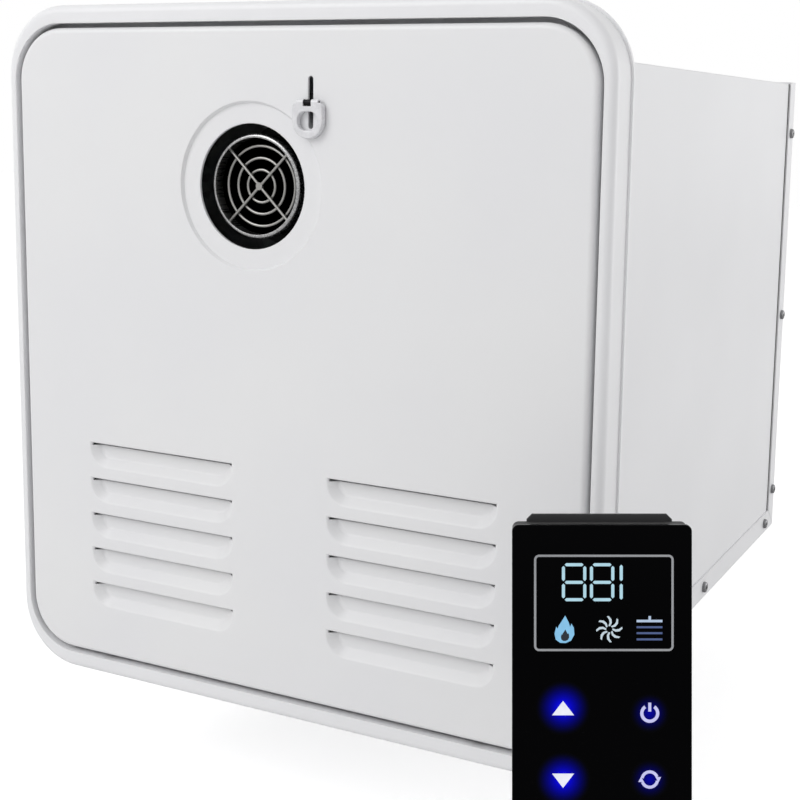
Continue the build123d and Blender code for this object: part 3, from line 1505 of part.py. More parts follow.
def electrode(y, wire_length):
    """A ceramic rod through the burner box's left wall, with its flange and wire."""
    with BuildPart() as rod:
        with BuildSketch(Plane.YZ.offset(stack_left_x - electrode_outside)):
            with Locations((y, electrode_z)):
                Circle(electrode_radius)
        extrude(amount=electrode_length)
        with BuildSketch(Plane.YZ.offset(stack_left_x - electrode_flange_thickness)):
            with Locations((y, electrode_z)):
                Circle(electrode_flange_radius)
        extrude(amount=electrode_flange_thickness)
        with BuildSketch(Plane.YZ.offset(stack_left_x - electrode_outside + electrode_length)):
            with Locations((y, electrode_z)):
                Circle(electrode_wire_radius)
        extrude(amount=wire_length)
    return rod.part


# Spark electrodes: a pair above the first bar
with BuildPart() as spark_electrodes:
    for y in electrode_places[:-1]:
        add(electrode(y, electrode_wire_length))
spark_electrodes.part.label = "spark_electrodes"
export_step(spark_electrodes.part, "parts/spark_electrodes.step")

# Flame sensor: a longer rod further back
flame_sensor = electrode(flame_sensor_y, flame_sensor_wire_length)
flame_sensor.label = "flame_sensor"
export_step(flame_sensor, "parts/flame_sensor.step")

# Spark unit: potted block on the left wall
spark_unit_right_x = -inner_side_x + spark_unit_width
with BuildPart() as spark_unit:
    with Locations((
        -inner_side_x + spark_unit_width / 2,
        spark_unit_y + spark_unit_length / 2,
        spark_unit_z + spark_unit_height / 2,
    )):
        Box(spark_unit_width, spark_unit_length, spark_unit_height)
    fillet(spark_unit.edges().filter_by(Axis.Z), spark_unit_round)
spark_unit.part.label = "spark_unit"
export_step(spark_unit.part, "parts/spark_unit.step")

# Ignition lead: high-voltage cable from the spark unit to the first electrode
lead_start_z = spark_unit_z + spark_unit_height / 2
lead_end_x = stack_left_x - electrode_outside
lead_turn_x = (spark_unit_right_x + lead_end_x) / 2
ignition_lead = bent_tube(
    [
        (spark_unit_right_x, electrode_places[0], lead_start_z),
        (lead_turn_x, electrode_places[0], lead_start_z),
        (lead_turn_x, electrode_places[0], electrode_z),
        (lead_end_x, electrode_places[0], electrode_z),
    ],
    lead_bend_radius, lead_radius, 0,
)
ignition_lead.label = "ignition_lead"
export_step(ignition_lead, "parts/ignition_lead.step")

# Control tray: plastic box on the left wall, open towards the middle
control_middle = (control_y + control_length / 2, control_z + control_height / 2)
post_spots = [
    (control_y + control_length / 2 + along * (control_length / 2 - control_post_inset),
     control_z + control_height / 2 + up * (control_height / 2 - control_post_inset))
    for along in (-1, 1)
    for up in (-1, 1)
]
with BuildPart() as control_tray:
    with BuildSketch(Plane.YZ.offset(-inner_side_x)):
        with Locations(control_middle):
            Rectangle(control_length, control_height)
    extrude(amount=control_depth)
    with BuildSketch(Plane.YZ.offset(-inner_side_x + control_wall)):
        with Locations(control_middle):
            Rectangle(control_length - 2 * control_wall, control_height - 2 * control_wall)
    extrude(amount=control_depth - control_wall, mode=Mode.SUBTRACT)
    with BuildSketch(Plane.YZ.offset(-inner_side_x + control_wall)):
        with Locations(*post_spots):
            Circle(control_post_radius)
    extrude(amount=control_board_gap)
control_tray.part.label = "control_tray"
export_step(control_tray.part, "parts/control_tray.step")

# Control board: circuit board with relays and capacitors
board_x = -inner_side_x + control_wall + control_board_gap
with BuildPart() as control_board:
    with BuildSketch(Plane.YZ.offset(board_x)):
        with Locations(control_middle):
            Rectangle(
                control_length - 2 * control_wall - 2 * control_board_margin,
                control_height - 2 * control_wall - 2 * control_board_margin,
            )
    extrude(amount=control_board_thickness)
    part_x = board_x + control_board_thickness
    with BuildSketch(Plane.YZ.offset(part_x)):
        with Locations(control_middle):
            with GridLocations(2 * relay_size, 0, 3, 1):
                Rectangle(relay_size, relay_size)
    extrude(amount=relay_size)
    with BuildSketch(Plane.YZ.offset(part_x)):
        with Locations((control_middle[0], control_middle[1] + 2 * relay_size)):
            with GridLocations(4 * capacitor_radius, 0, 2, 1):
                Circle(capacitor_radius)
    extrude(amount=capacitor_height)
control_board.part.label = "control_board"
export_step(control_board.part, "parts/control_board.step")

# Control lid
with BuildPart() as control_lid:
    with BuildSketch(Plane.YZ.offset(-inner_side_x + control_depth)):
        with Locations(control_middle):
            Rectangle(control_length, control_height)
    extrude(amount=control_lid_thickness)
control_lid.part.label = "control_lid"
export_step(control_lid.part, "parts/control_lid.step")

# Cable gland: nut and dome on the rear panel, with its stub inside
with BuildPart() as cable_gland:
    with BuildSketch(Plane.XZ.offset(-rear_inner_y + gland_nut_length)):
        with Locations((gland_x, gland_z)):
            Circle(gland_radius)
    extrude(amount=-gland_nut_length - housing_sheet - gland_nut_length - gland_dome_length)
    fillet(cable_gland.edges().sort_by(Axis.Y)[-1], gland_radius - gland_bore_radius - thread_chamfer)
    with BuildSketch(Plane.XZ.offset(-housing_back_y)):
        with Locations((gland_x, gland_z)):
            RegularPolygon(gland_nut_across / 2, 6, major_radius=False)
    extrude(amount=-gland_nut_length)
    with BuildSketch(Plane.XZ.offset(-rear_inner_y + gland_nut_length)):
        with Locations((gland_x, gland_z)):
            Circle(gland_bore_radius)
    extrude(
        amount=-gland_nut_length - housing_sheet - gland_nut_length - gland_dome_length,
        mode=Mode.SUBTRACT,
    )
cable_gland.part.label = "cable_gland"
export_step(cable_gland.part, "parts/cable_gland.step")

# Controller's own plane: its face looks at the viewer, Z out of the glass and Y up it
turn = radians(controller_turn)
lean = radians(controller_lean)
tilt = radians(controller_tilt)
face_out = (sin(turn) * cos(lean), -cos(turn) * cos(lean), sin(lean))
level = (cos(turn), sin(turn), 0)
rise = (-sin(turn) * sin(lean), cos(turn) * sin(lean), cos(lean))
face_across = tuple(cos(tilt) * a + sin(tilt) * b for a, b in zip(level, rise))
face_plane = Plane(
    (controller_centre_x, controller_centre_y, controller_centre_z), x_dir=face_across, z_dir=face_out
)
case_front = -controller_glass_thickness
case_back = case_front - controller_case_depth
board_back = case_front - controller_board_depth - controller_board_thickness
key_spots = [
    (key_left_x, -key_upper_drop),
    (key_right_x, -key_upper_drop),
    (key_left_x, -key_lower_drop),
    (key_right_x, -key_lower_drop),
]

# Controller front: black touch glass
with BuildPart() as controller_front:
    with BuildSketch(face_plane.offset(case_front)):
        RectangleRounded(controller_width, controller_height, controller_corner_radius)
    extrude(amount=controller_glass_thickness)
    fillet(controller_front.faces().sort_by(Axis(face_plane.origin, face_out))[-1].edges(),
           controller_glass_edge)
controller_front.part.label = "controller_front"
export_step(controller_front.part, "parts/controller_front.step")

# Controller case: shallow plastic box behind the glass
with BuildPart() as controller_case:
    with BuildSketch(face_plane.offset(case_back)):
        RectangleRounded(
            controller_width - 2 * controller_case_inset,
            controller_height - 2 * controller_case_inset,
            controller_corner_radius,
        )
    extrude(amount=controller_case_depth)
    with BuildSketch(face_plane.offset(case_back + controller_case_wall)):
        Rectangle(
            controller_width - 2 * controller_case_inset - 2 * controller_case_wall,
            controller_height - 2 * controller_case_inset - 2 * controller_case_wall,
        )
    extrude(amount=controller_case_depth - controller_case_wall, mode=Mode.SUBTRACT)
    with BuildSketch(face_plane.offset(case_back)):
        with Locations((0, -cable_hole_drop)):
            Rectangle(cable_hole_width, cable_hole_height)
    extrude(amount=controller_case_wall, mode=Mode.SUBTRACT)
controller_case.part.label = "controller_case"
export_step(controller_case.part, "parts/controller_case.step")

# Controller wall plate: grey sheet that shows above the controller
with BuildPart() as controller_wall_plate:
    plate_top = controller_height / 2 + controller_plate_rise
    plate_low = -controller_height / 2 + controller_plate_bottom
    with BuildSketch(face_plane.offset(case_back - controller_plate_thickness)):
        with Locations((0, (plate_top + plate_low) / 2)):
            Rectangle(controller_plate_width, plate_top - plate_low)
        for up in (-1, 1):
            with Locations((0, up * controller_screw_spacing / 2)):
                SlotOverall(
                    controller_slot_length, controller_slot_width, rotation=90, mode=Mode.SUBTRACT
                )
        with Locations((0, -cable_hole_drop)):
            Rectangle(cable_hole_width, cable_hole_height, mode=Mode.SUBTRACT)
    extrude(amount=controller_plate_thickness)
    plate_corners = controller_wall_plate.edges().filter_by(Axis(face_plane.origin, face_out))
    chamfer(plate_corners.sort_by(Axis(face_plane.origin, face_plane.y_dir))[-2:],
            controller_plate_chamfer)
controller_wall_plate.part.label = "controller_wall_plate"
export_step(controller_wall_plate.part, "parts/controller_wall_plate.step")

# Controller board
with BuildPart() as controller_board:
    with BuildSketch(face_plane.offset(board_back)):
        Rectangle(
            controller_width - 2 * controller_case_inset - 2 * controller_case_wall - 2 * sheet_clearance,
            controller_height - 2 * controller_case_inset - 2 * controller_case_wall - 2 * sheet_clearance,
        )
    extrude(amount=controller_board_thickness)
controller_board.part.label = "controller_board"
export_step(controller_board.part, "parts/controller_board.step")

# Controller display: light module between the board and the glass
with BuildPart() as controller_display:
    with BuildSketch(face_plane.offset(case_front - controller_board_depth)):
        with Locations((display_x, display_rise)):
            Rectangle(display_width, display_height)
    extrude(amount=controller_board_depth)
controller_display.part.label = "controller_display"
export_step(controller_display.part, "parts/controller_display.step")

# Key light guides: four round prisms behind the touch keys
with BuildPart() as key_light_guides:
    with BuildSketch(face_plane.offset(case_front - controller_board_depth)):
        with Locations(*key_spots):
            Circle(key_radius)
    extrude(amount=controller_board_depth)
key_light_guides.part.label = "key_light_guides"
export_step(key_light_guides.part, "parts/key_light_guides.step")
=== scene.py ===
"""Caravan water heater with its touch controller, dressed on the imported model, in metres."""
import math
import bmesh
import bpy
from mathutils import Matrix, Vector


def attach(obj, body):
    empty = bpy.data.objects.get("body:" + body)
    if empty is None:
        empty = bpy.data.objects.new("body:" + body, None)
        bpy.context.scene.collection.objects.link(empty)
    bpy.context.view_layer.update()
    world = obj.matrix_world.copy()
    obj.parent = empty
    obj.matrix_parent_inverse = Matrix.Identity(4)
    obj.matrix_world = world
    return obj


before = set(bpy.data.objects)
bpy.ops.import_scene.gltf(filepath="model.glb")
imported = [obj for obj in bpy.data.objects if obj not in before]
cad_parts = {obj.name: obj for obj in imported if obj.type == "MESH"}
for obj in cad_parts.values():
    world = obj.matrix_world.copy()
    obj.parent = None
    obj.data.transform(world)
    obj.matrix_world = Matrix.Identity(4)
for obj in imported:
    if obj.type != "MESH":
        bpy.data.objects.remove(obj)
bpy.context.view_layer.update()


# Door: a pan pressed from sheet steel, with louvres, a dish and a slot, powder-coated white.
# The coat is satin with a faint orange peel, so highlights spread softly over the pressed edges.
def linear(colour):
    """A colour written as sRGB hex, as the linear values that a shader takes."""
    channels = [int(colour[place:place + 2], 16) / 255 for place in (0, 2, 4)]
    return [channel / 12.92 if channel <= 0.04045 else ((channel + 0.055) / 1.055) ** 2.4
            for channel in channels] + [1.0]


def add_node(material, kind, settings=None, links=None):
    """Adds one shader node, sets its options and sockets, and links sources to its inputs."""
    node = material.node_tree.nodes.new(kind)
    for name, value in (settings or {}).items():
        if isinstance(name, int) or name in node.inputs:
            node.inputs[name].default_value = value
        else:
            setattr(node, name, value)
    for name, source in (links or {}).items():
        material.node_tree.links.new(source, node.inputs[name])
    return node


def new_finish(name, **sockets):
    """A material with the shader's own sockets set, and the object's coordinates to draw on."""
    material = bpy.data.materials.new(name)
    material.use_nodes = True
    shader = material.node_tree.nodes["Principled BSDF"]
    for socket, value in sockets.items():
        shader.inputs[socket.replace("_", " ")].default_value = value
    place = add_node(material, "ShaderNodeTexCoord").outputs["Object"]
    return material, shader, place


def tint(material, shader, pattern, low, high, start=0.35, end=0.65):
    """Colours the surface between two close shades by a pattern."""
    ramp = add_node(material, "ShaderNodeValToRGB", links={"Fac": pattern})
    ramp.color_ramp.elements[0].color = linear(low)
    ramp.color_ramp.elements[0].position = start
    ramp.color_ramp.elements[1].color = linear(high)
    ramp.color_ramp.elements[1].position = end
    material.node_tree.links.new(ramp.outputs["Color"], shader.inputs["Base Color"])
    return ramp


def vary_gloss(material, shader, pattern, low, high):
    """Lets the roughness wander between two values with a pattern."""
    spread = add_node(material, "ShaderNodeMapRange", {"To Min": low, "To Max": high},
                      {"Value": pattern})
    material.node_tree.links.new(spread.outputs["Result"], shader.inputs["Roughness"])


def raise_surface(material, shader, pattern, height_mm, strength, under=None):
    """Bumps the surface by a pattern whose full height is given in millimetres."""
    settings = {"Distance": height_mm / 1000, "Strength": strength}
    links = {"Height": pattern}
    if under is not None:
        links["Normal"] = under
    bump = add_node(material, "ShaderNodeBump", settings, links)
    material.node_tree.links.new(bump.outputs["Normal"], shader.inputs["Normal"])


def noise(material, place, size_mm, detail, stretch=(1, 1, 1)):
    """A noise whose lumps are about the given size, drawn out along an axis where asked."""
    stretched = add_node(material, "ShaderNodeMapping", {"Scale": stretch}, {"Vector": place})
    texture = add_node(material, "ShaderNodeTexNoise", {"Scale": 1000 / size_mm, "Detail": detail},
                       {"Vector": stretched.outputs["Vector"]})
    return texture.outputs["Fac"]


def dress(material, *nodes):
    """Puts a finish on carried-over pieces."""
    for name in nodes:
        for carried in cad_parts[name].material_slots:
            carried.material = material


def powder_coat(name, low, high, peel_mm, roughness):
    """Baked powder paint: even colour, faint orange peel, edges that look rolled over."""
    shade_mm, gloss_mm, peel_height_mm, edge_radius = 90, 60, 0.012, 0.0009
    material, shader, place = new_finish(name, IOR=1.5, Coat_Weight=0.12, Coat_Roughness=0.25)
    tint(material, shader, noise(material, place, shade_mm, 1), low, high)
    vary_gloss(material, shader, noise(material, place, gloss_mm, 1), roughness - 0.01, roughness + 0.01)
    rolled = add_node(material, "ShaderNodeBevel", {"samples": 6, "Radius": edge_radius})
    raise_surface(material, shader, noise(material, place, peel_mm, 1), peel_height_mm, 0.25,
                  rolled.outputs["Normal"])
    return material


door_paint = powder_coat("white powder coat on pressed steel", "EBEBED", "EDEDEE", 1.6, 0.4)
dress(door_paint, "door_panel")


# Front frame: moulded in white ABS, with a rounded outer edge and a lip round the door.
# It is smoother than paint, and light goes some millimetres into it, which softens its shadows.
def moulded(name, low, high, roughness, grain_mm=0.5, height_mm=0.01, **sockets):
    """Moulded plastic: one colour with a fine spark-eroded grain."""
    shade_mm, gloss_mm = 60, 30
    material, shader, place = new_finish(name, IOR=1.5, **sockets)
    tint(material, shader, noise(material, place, shade_mm, 1), low, high)
    vary_gloss(material, shader, noise(material, place, gloss_mm, 1), roughness - 0.02, roughness + 0.02)
    raise_surface(material, shader, noise(material, place, grain_mm, 1), height_mm, 0.4)
    return material


frame_plastic = moulded("white ABS moulding", "EDEDEF", "EFEFF1", 0.38, grain_mm=2.5, height_mm=0.008,
                        Subsurface_Weight=0.4, Subsurface_Radius=(1.0, 1.0, 1.0),
                        Subsurface_Scale=0.004)
dress(frame_plastic, "front_frame")

# Wall gasket: a loop of closed-cell foam rubber, cut from sheet and pressed into the frame's groove.
# The cut cells show as fine pits.
foam_cell_mm = 0.9
foam, foam_shader, foam_place = new_finish("black cellular rubber", Roughness=0.9, IOR=1.5)
foam_cells = add_node(foam, "ShaderNodeTexVoronoi", {"Scale": 1000 / foam_cell_mm},
                      {"Vector": foam_place})
tint(foam, foam_shader, foam_cells.outputs["Distance"], "0E0E0F", "1D1D1E", 0.1, 0.8)
raise_surface(foam, foam_shader, foam_cells.outputs["Distance"], 0.2, 0.6)
dress(foam, "wall_gasket")

# Housing: folded steel sheet, powder-coated in the same white but flatter, screwed at its flanges.
# The large panels are a little uneven, which shows only in the sheen.
housing_paint = powder_coat("white powder coat on folded sheet", "E9E9EB", "EBEBED", 1.8, 0.42)
dress(housing_paint, "rear_panel", "base_panel")

# Housing shell: the same coat, with a thin black line of painted shadow where the rear flanges end on
# it.
# Its front edge wavers by a fraction of a millimetre.
shadow_line_front, shell_side, waver_reach, waver_mm = 0.3671, 0.1716, 0.0006, 55
shell_white, painted_shadow_black = "EBEBED", "101011"
shell_paint = powder_coat("white powder coat with a painted shadow line", "E9E9EB", shell_white, 1.8, 0.42)
shell_ramp = next(node for node in shell_paint.node_tree.nodes if node.type == "VALTORGB")
shell_ramp.color_ramp.elements.new(0.92).color = linear(shell_white)
# The black at the ramp's top end is painted shadow, standing in for the gap in front of the flanges'
# edges.
shell_ramp.color_ramp.elements.new(0.96).color = linear(painted_shadow_black)
shell_place = add_node(shell_paint, "ShaderNodeTexCoord").outputs["Object"]
shell_axes = add_node(shell_paint, "ShaderNodeSeparateXYZ", links={"Vector": shell_place})
shadow_line_waver = add_node(shell_paint, "ShaderNodeMapRange", {"To Min": -waver_reach, "To Max": waver_reach},
                      {"Value": noise(shell_paint, shell_place, waver_mm, 1)})
shadow_line_edge = add_node(shell_paint, "ShaderNodeMath", {"operation": "ADD"},
                     {0: shell_axes.outputs["Y"], 1: shadow_line_waver.outputs["Result"]})
shadow_line_start = add_node(shell_paint, "ShaderNodeMath", {"operation": "GREATER_THAN", 1: shadow_line_front},
                      {0: shadow_line_edge.outputs["Value"]})
shadow_line_side = add_node(shell_paint, "ShaderNodeMath", {"operation": "ABSOLUTE"},
                     {0: shell_axes.outputs["X"]})
shadow_line_outside = add_node(shell_paint, "ShaderNodeMath", {"operation": "GREATER_THAN", 1: shell_side},
                        {0: shadow_line_side.outputs["Value"]})
# Painted shadow: black behind that edge on the shell's outer sides only.
painted_shadow_line = add_node(shell_paint, "ShaderNodeMath", {"operation": "MULTIPLY"},
                {0: shadow_line_start.outputs["Value"], 1: shadow_line_outside.outputs["Value"]})
tone_and_shadow_fac = add_node(shell_paint, "ShaderNodeMath", {"operation": "MAXIMUM"},
                     {0: painted_shadow_line.outputs["Value"], 1: shell_ramp.inputs["Fac"].links[0].from_socket})
shell_paint.node_tree.links.new(tone_and_shadow_fac.outputs["Value"], shell_ramp.inputs["Fac"])
dress(shell_paint, "housing_shell")


# Casing screws: cross-recessed pan heads, cold-headed and zinc-plated, and dark against the paint.
# Plating leaves them half matt, with a sharp light on each rounded head.
def plated(name, low, high, roughness, brush_mm=0.6, stretch=(1, 1, 1), height_mm=0.01):
    """Bare or plated metal with a fine drawn or tumbled texture."""
    material, shader, place = new_finish(name, Metallic=1.0)
    grain = noise(material, place, brush_mm, 3, stretch)
    tint(material, shader, grain, low, high, 0.25, 0.75)
    vary_gloss(material, shader, grain, roughness - 0.08, roughness + 0.1)
    raise_surface(material, shader, grain, height_mm, 0.5)
    return material


screw_zinc = plated("dulled screw plating", "646466", "939395", 0.22)
dress(screw_zinc, "casing_screws")

# Door hinge and latch gear: brackets, keeper and clip punched from strip, pins and post turned.
# The hinge and the keeper are zinc-plated bright; the latch's post, clip and pin are blackened.
hinge_zinc = plated("bright zinc plating", "A9ABAE", "C3C5C8", 0.3)
dress(hinge_zinc, "hinge_brackets", "hinge_pins", "latch_keeper")
post_black = plated("blackened steel", "151517", "2A2A2C", 0.42)
dress(post_black, "latch_post", "latch_clip", "latch_pin")

# Latch ring: die-cast zinc, enamelled white; it hangs on its pin and lifts to turn the latch.
# Enamel is thicker and glossier than powder coat.
ring_enamel, ring_shader, ring_place = new_finish(
    "white enamel on die-cast zinc", IOR=1.52, Coat_Weight=0.4, Coat_Roughness=0.12)
tint(ring_enamel, ring_shader, noise(ring_enamel, ring_place, 5, 2), "DCDCDF", "E6E6E9")
vary_gloss(ring_enamel, ring_shader, noise(ring_enamel, ring_place, 3, 2), 0.22, 0.32)
ring_soft = add_node(ring_enamel, "ShaderNodeBevel", {"samples": 6, "Radius": 0.0003})
raise_surface(ring_enamel, ring_shader, noise(ring_enamel, ring_place, 1.2, 1), 0.01, 0.4,
              ring_soft.outputs["Normal"])
dress(ring_enamel, "latch_ring")


# Inner cover, hood, burner box and legs: hot-dip galvanised sheet, cut and folded.
# The zinc freezes in spangles some millimetres across, each a slightly different grey.
def galvanised(name, low, high, spangle_mm, roughness):
    """Hot-dip zinc: flat crystals with their own shade and sheen."""
    material, shader, place = new_finish(name, Metallic=1.0)
    spangle = add_node(material, "ShaderNodeTexVoronoi", {"Scale": 1000 / spangle_mm}, {"Vector": place})
    shade = add_node(material, "ShaderNodeSeparateColor", links={"Color": spangle.outputs["Color"]})
    tint(material, shader, shade.outputs["Red"], low, high, 0.0, 1.0)
    vary_gloss(material, shader, shade.outputs["Green"], roughness - 0.08, roughness + 0.12)
    raise_surface(material, shader, noise(material, place, 3, 2), 0.01, 0.5)
    return material


cover_zinc = galvanised("galvanised sheet with spangle", "8F9193", "A6A8AA", 6, 0.38)
dress(cover_zinc, "inner_cover", "flue_hood", "burner_box", "stack_legs")

# Exhaust: a thin stainless tube with a rolled mouth, and a grille of stainless wire welded inside.
# The tube is drawn, so fine lines run along it; behind its mouth it turns near black, as painted shade
# deeper in the tube.
inner_shade_start, inner_shade_full = -0.0122, -0.0095
tube_steel, tube_shader, tube_place = new_finish("drawn stainless tube", Metallic=1.0)
drawn = noise(tube_steel, tube_place, 0.8, 4, (1, 0.02, 1))
tube_axes = add_node(tube_steel, "ShaderNodeSeparateXYZ", links={"Vector": tube_place})
# Painted shade: the tube grows dark the deeper it lies behind the mouth.
inner_shade = add_node(tube_steel, "ShaderNodeMapRange", {"From Min": inner_shade_start, "From Max": inner_shade_full},
                {"Value": tube_axes.outputs["Y"]})
grain_and_inner_shade = add_node(tube_steel, "ShaderNodeMath", {"operation": "MAXIMUM"},
                  {0: drawn, 1: inner_shade.outputs["Result"]})
tube_ramp = tint(tube_steel, tube_shader, grain_and_inner_shade.outputs["Value"], "8A8A8A", "BCBCBC", 0.3, 0.7)
# The near-black end of the ramp is that painted shade.
tube_ramp.color_ramp.elements.new(0.95).color = linear("161616")
vary_gloss(tube_steel, tube_shader, drawn, 0.2, 0.36)
raise_surface(tube_steel, tube_shader, drawn, 0.01, 0.25)
dress(tube_steel, "exhaust_tube")
grille_wire = plated("stainless wire", "8F8E8B", "ABAAA7", 0.34, 0.4)
dress(grille_wire, "exhaust_grille")
silicone = moulded("black silicone rubber", "101011", "161617", 0.6, 1.0, 0.02)
dress(silicone, "exhaust_gasket")


# Heat exchanger and pipes: copper sheet and tube, brazed, dulled by handling and heat.
# Brown bloom lies over the bright metal in soft clouds.
def dulled(name, bright, dull, roughness, cloud_mm):
    """Copper or brass with clouds of tarnish and a fine drawn surface."""
    material, shader, place = new_finish(name, Metallic=1.0)
    cloud = noise(material, place, cloud_mm, 5)
    tint(material, shader, cloud, dull, bright, 0.35, 0.6)
    vary_gloss(material, shader, cloud, roughness + 0.14, roughness - 0.05)
    raise_surface(material, shader, noise(material, place, 0.5, 2), 0.01, 0.4)
    return material


copper = dulled("tarnished copper", "C77B55", "8E4F36", 0.3, 14)
dress(copper, "exchanger_shell", "exchanger_fins", "exchanger_tubes", "inlet_pipe", "sensor_pipe",
      "outlet_pipe", "relief_pipe", "gas_pipe")

# Fittings and relief valve: turned and forged brass, with plain threads.
# Turning leaves them bright, with a light yellow bloom.
brass = dulled("turned brass", "CFA75A", "A98442", 0.24, 8)
dress(brass, "water_fittings", "gas_inlet_fitting", "relief_valve")

# Burner: slotted stainless bars, fed by a die-cast aluminium manifold and gas valve.
# The bars carry blue and straw heat tint along their tops.
heat_foot, heat_top = -0.06, -0.02
bar_steel, bar_shader, bar_place = new_finish("heat-tinted stainless", Metallic=1.0)
bar_axes = add_node(bar_steel, "ShaderNodeSeparateXYZ", links={"Vector": bar_place})
heat_band = add_node(bar_steel, "ShaderNodeMapRange", {"From Min": heat_foot, "From Max": heat_top},
                     {"Value": bar_axes.outputs["Z"]})
heat_ramp = tint(bar_steel, bar_shader, heat_band.outputs["Result"], "A8A6A1", "4E5A78", 0.35, 1.0)
heat_ramp.color_ramp.elements.new(0.75).color = linear("9C7E4C")
vary_gloss(bar_steel, bar_shader, noise(bar_steel, bar_place, 4, 3), 0.3, 0.45)
dress(bar_steel, "burner_bars")
die_cast = plated("die-cast aluminium", "9EA0A3", "B4B6B9", 0.46, 1.4, height_mm=0.05)
dress(die_cast, "gas_manifold", "gas_valve")
coil_plastic = moulded("black glass-filled nylon", "0D0D0E", "18181A", 0.5, 0.8, 0.03)
dress(coil_plastic, "gas_solenoids", "spark_unit", "overheat_switch", "cable_gland", "power_switch",
      "flow_sensor")

# Small moving metal: the relief lever, stamped, and the blower shaft, ground.
# Both are bright steel with lines from the tool.
lever_steel = plated("bright steel", "B5B6B8", "CECFD1", 0.26, 0.5, (1, 0.1, 1))
dress(lever_steel, "relief_lever", "blower_shaft")

# Blower: moulded scroll and impeller in dark polypropylene, and an enamelled motor can.
# The flow wheel is white acetal.
scroll_plastic = moulded("dark polypropylene", "151516", "202022", 0.48, 1.0, 0.03)
dress(scroll_plastic, "blower_housing", "blower_impeller")
motor_enamel = powder_coat("black motor enamel", "17171A", "1F1F22", 1.2, 0.34)
dress(motor_enamel, "blower_motor")
wheel_plastic = moulded("white acetal", "DAD9D4", "E2E1DC", 0.35, 0.6, 0.01)
dress(wheel_plastic, "flow_rotor")

# Ignition: glazed alumina rods with a heat-proof wire, and a silicone high-voltage lead.
# The glaze is clear and slightly uneven.
glaze, glaze_shader, glaze_place = new_finish(
    "glazed alumina", IOR=1.55, Coat_Weight=0.5, Coat_Roughness=0.08)
tint(glaze, glaze_shader, noise(glaze, glaze_place, 4, 3), "DAD6CB", "E6E2D8")
vary_gloss(glaze, glaze_shader, noise(glaze, glaze_place, 2, 2), 0.14, 0.24)
raise_surface(glaze, glaze_shader, noise(glaze, glaze_place, 1.5, 1), 0.02, 0.4)
dress(glaze, "spark_electrodes", "flame_sensor")
lead_silicone = moulded("brown silicone lead", "6E241B", "7A2A20", 0.55, 0.7, 0.02)
dress(lead_silicone, "ignition_lead")

# Control box: grey flame-proof ABS tray and lid over a green circuit board; red rocker switch.
# The board's solder mask is glossy, over faint copper tracks.
tray_plastic = moulded("grey flame-proof ABS", "8B8D90", "95979A", 0.46, 0.7, 0.03)
dress(tray_plastic, "control_tray", "control_lid")
track_mm = 12
mask, mask_shader, mask_place = new_finish("green solder mask", IOR=1.5, Coat_Weight=0.3)
tracks = add_node(mask, "ShaderNodeTexBrick",
                  {"Scale": 1000 / track_mm, "Color1": linear("0F4A26"), "Color2": linear("14552D"),
                   "Mortar": linear("1D6B3A"), "Mortar Size": 0.04}, {"Vector": mask_place})
mask.node_tree.links.new(tracks.outputs["Color"], mask_shader.inputs["Base Color"])
vary_gloss(mask, mask_shader, noise(mask, mask_place, 5, 2), 0.25, 0.35)
dress(mask, "control_board", "controller_board")
rocker_plastic = moulded("red gloss ABS", "8C1410", "A01A14", 0.2, 0.6, 0.01, Coat_Weight=0.3)
dress(rocker_plastic, "switch_rocker")

# Controller body: a matt black ABS case on a steel wall plate, painted nearly black.
# Milky light guides behind the front spread the light of its small lamps.
case_plastic = moulded("matt black ABS", "060607", "0B0B0C", 0.6, 0.6, 0.02)
dress(case_plastic, "controller_case")
plate_paint = powder_coat("black paint on steel plate", "1A1A1C", "212123", 1.0, 0.5)
dress(plate_paint, "controller_wall_plate")
diffuser = moulded("milky light guide", "C9D6DC", "D5E0E5", 0.3, 0.6, 0.005)
dress(diffuser, "controller_display", "key_light_guides")

# Controller front: black acrylic, polished, printed on its back so that only the lit signs show.
# Real acrylic has no texture, only a trace of fine wiping marks.
acrylic, acrylic_shader, acrylic_place = new_finish(
    "polished black acrylic", Base_Color=linear("010102"), IOR=1.49, Specular_IOR_Level=0.03)
vary_gloss(acrylic, acrylic_shader, noise(acrylic, acrylic_place, 9, 3, (1, 1, 0.3)), 0.14, 0.22)
dress(acrylic, "controller_front")

# Signs of the controller: numerals, pictures and keys that shine through the acrylic, and a printed
# line round the display. Each is a flat shape a few hundredths of a millimetre proud of the front,
# drawn in millimetres from the middle of the controller's face.
turn, lean, tilt = math.radians(25.4), math.radians(8.4), math.radians(1.2)
face_out = Vector((math.sin(turn) * math.cos(lean), -math.cos(turn) * math.cos(lean), math.sin(lean)))
level = Vector((math.cos(turn), math.sin(turn), 0))
rise = Vector((-math.sin(turn) * math.sin(lean), math.cos(turn) * math.sin(lean), math.cos(lean)))
across = (level * math.cos(tilt) + rise * math.sin(tilt)).normalized()
upward = face_out.cross(across)
face_centre = Vector((0.2219, -0.1207, -0.0864))
face_matrix = Matrix((
    (across.x, upward.x, face_out.x, face_centre.x),
    (across.y, upward.y, face_out.y, face_centre.y),
    (across.z, upward.z, face_out.z, face_centre.z),
    (0, 0, 0, 1),
))
sign_height = 0.00004


